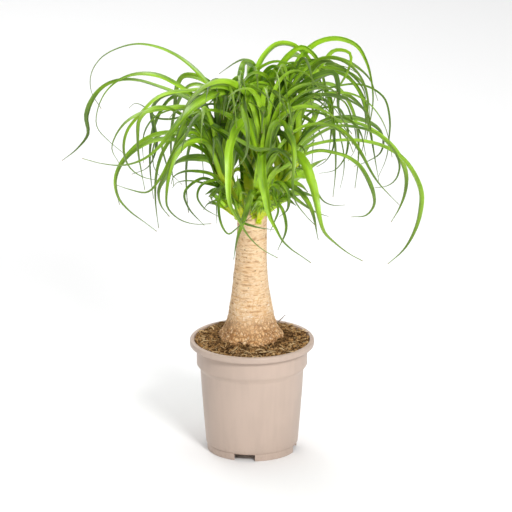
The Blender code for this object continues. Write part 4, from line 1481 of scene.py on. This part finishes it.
class PALM_OT_stage(bpy.types.Operator):
    """Lay the pale floor and set the studio lights and the camera"""

    bl_idname = "palm.stage"
    bl_label = "Set stage"

    def execute(self, context):
        look = context.scene.palm_stage
        deselect_all()
        bpy.ops.mesh.primitive_plane_add(size=30, location=(0, 0, 0))
        floor = active("floor")
        recipe = Recipe("white_paper")
        floor.data.materials.append(recipe.finish({"Base Color": (0.93, 0.93, 0.93, 1), "Roughness": 0.9}))
        self.add_light("key_light", (0.85, -2.3, 1.8), 0.7, look.key_power)
        self.add_light("top_light", (0, 0.3, 3.0), 2.5, look.top_power)
        self.add_light("rim_light", (-0.8, 1.9, 1.7), 1.5, look.rim_power)
        world = bpy.data.worlds.new("studio")
        world.use_nodes = True
        world.node_tree.nodes["Background"].inputs["Color"].default_value = (1, 1, 1, 1)
        world.node_tree.nodes["Background"].inputs["Strength"].default_value = look.sky
        context.scene.world = world
        context.scene.view_settings.view_transform = "Standard"
        self.add_camera(context, look)
        return {"FINISHED"}

    def add_light(self, name, place, size, power):
        deselect_all()
        bpy.ops.object.light_add(type="AREA", location=place)
        light = bpy.context.view_layer.objects.active
        light.name = name
        light.data.shape = "DISK"
        light.data.size = size
        light.data.energy = power
        light.visible_camera = False
        aim = Vector((0, 0, 0.3)) - light.location
        light.rotation_euler = aim.to_track_quat("-Z", "Y").to_euler()

    def add_camera(self, context, look):
        deselect_all()
        target = Vector((5.5 * MM, 0, 276.2 * MM))
        away = Vector((0, -math.cos(look.elevation), math.sin(look.elevation)))
        bpy.ops.object.camera_add(location=target + away * look.distance)
        camera = bpy.context.view_layer.objects.active
        camera.rotation_euler = (-away).to_track_quat("-Z", "Y").to_euler()
        camera.data.sensor_width = 36
        camera.data.lens = 36 * look.distance / look.view_width
        camera.data.clip_end = 100
        context.scene.camera = camera


class PALM_PT_panel(bpy.types.Panel):
    """Lists the steps that build the plant"""

    bl_idname = "PALM_PT_panel"
    bl_label = "Ponytail palm"
    bl_space_type = "VIEW_3D"
    bl_region_type = "UI"
    bl_category = "Palm"

    def draw(self, context):
        for step in STEPS:
            self.layout.operator(step.bl_idname)


STEPS = (
    PALM_OT_pot, PALM_OT_soil, PALM_OT_twig, PALM_OT_trunk, PALM_OT_shoots, PALM_OT_sheaths, PALM_OT_leaves,
    PALM_OT_between, PALM_OT_crown, PALM_OT_stage,
)


def register():
    for name, settings in SETTINGS.items():
        bpy.utils.register_class(settings)
        setattr(bpy.types.Scene, name, bpy.props.PointerProperty(type=settings))
    for step in STEPS:
        bpy.utils.register_class(step)
    bpy.utils.register_class(PALM_PT_panel)


def unregister():
    bpy.utils.unregister_class(PALM_PT_panel)
    for step in reversed(STEPS):
        bpy.utils.unregister_class(step)
    for name, settings in SETTINGS.items():
        delattr(bpy.types.Scene, name)
        bpy.utils.unregister_class(settings)


def main():
    register()
    bpy.ops.palm.pot()
    bpy.ops.palm.soil()
    bpy.ops.palm.twig()
    bpy.ops.palm.trunk()
    bpy.ops.palm.shoots()
    bpy.ops.palm.sheaths()
    bpy.ops.palm.leaves()
    bpy.ops.palm.between()
    bpy.ops.palm.crown()
    bpy.ops.palm.stage()


if __name__ == "__main__":
    main()
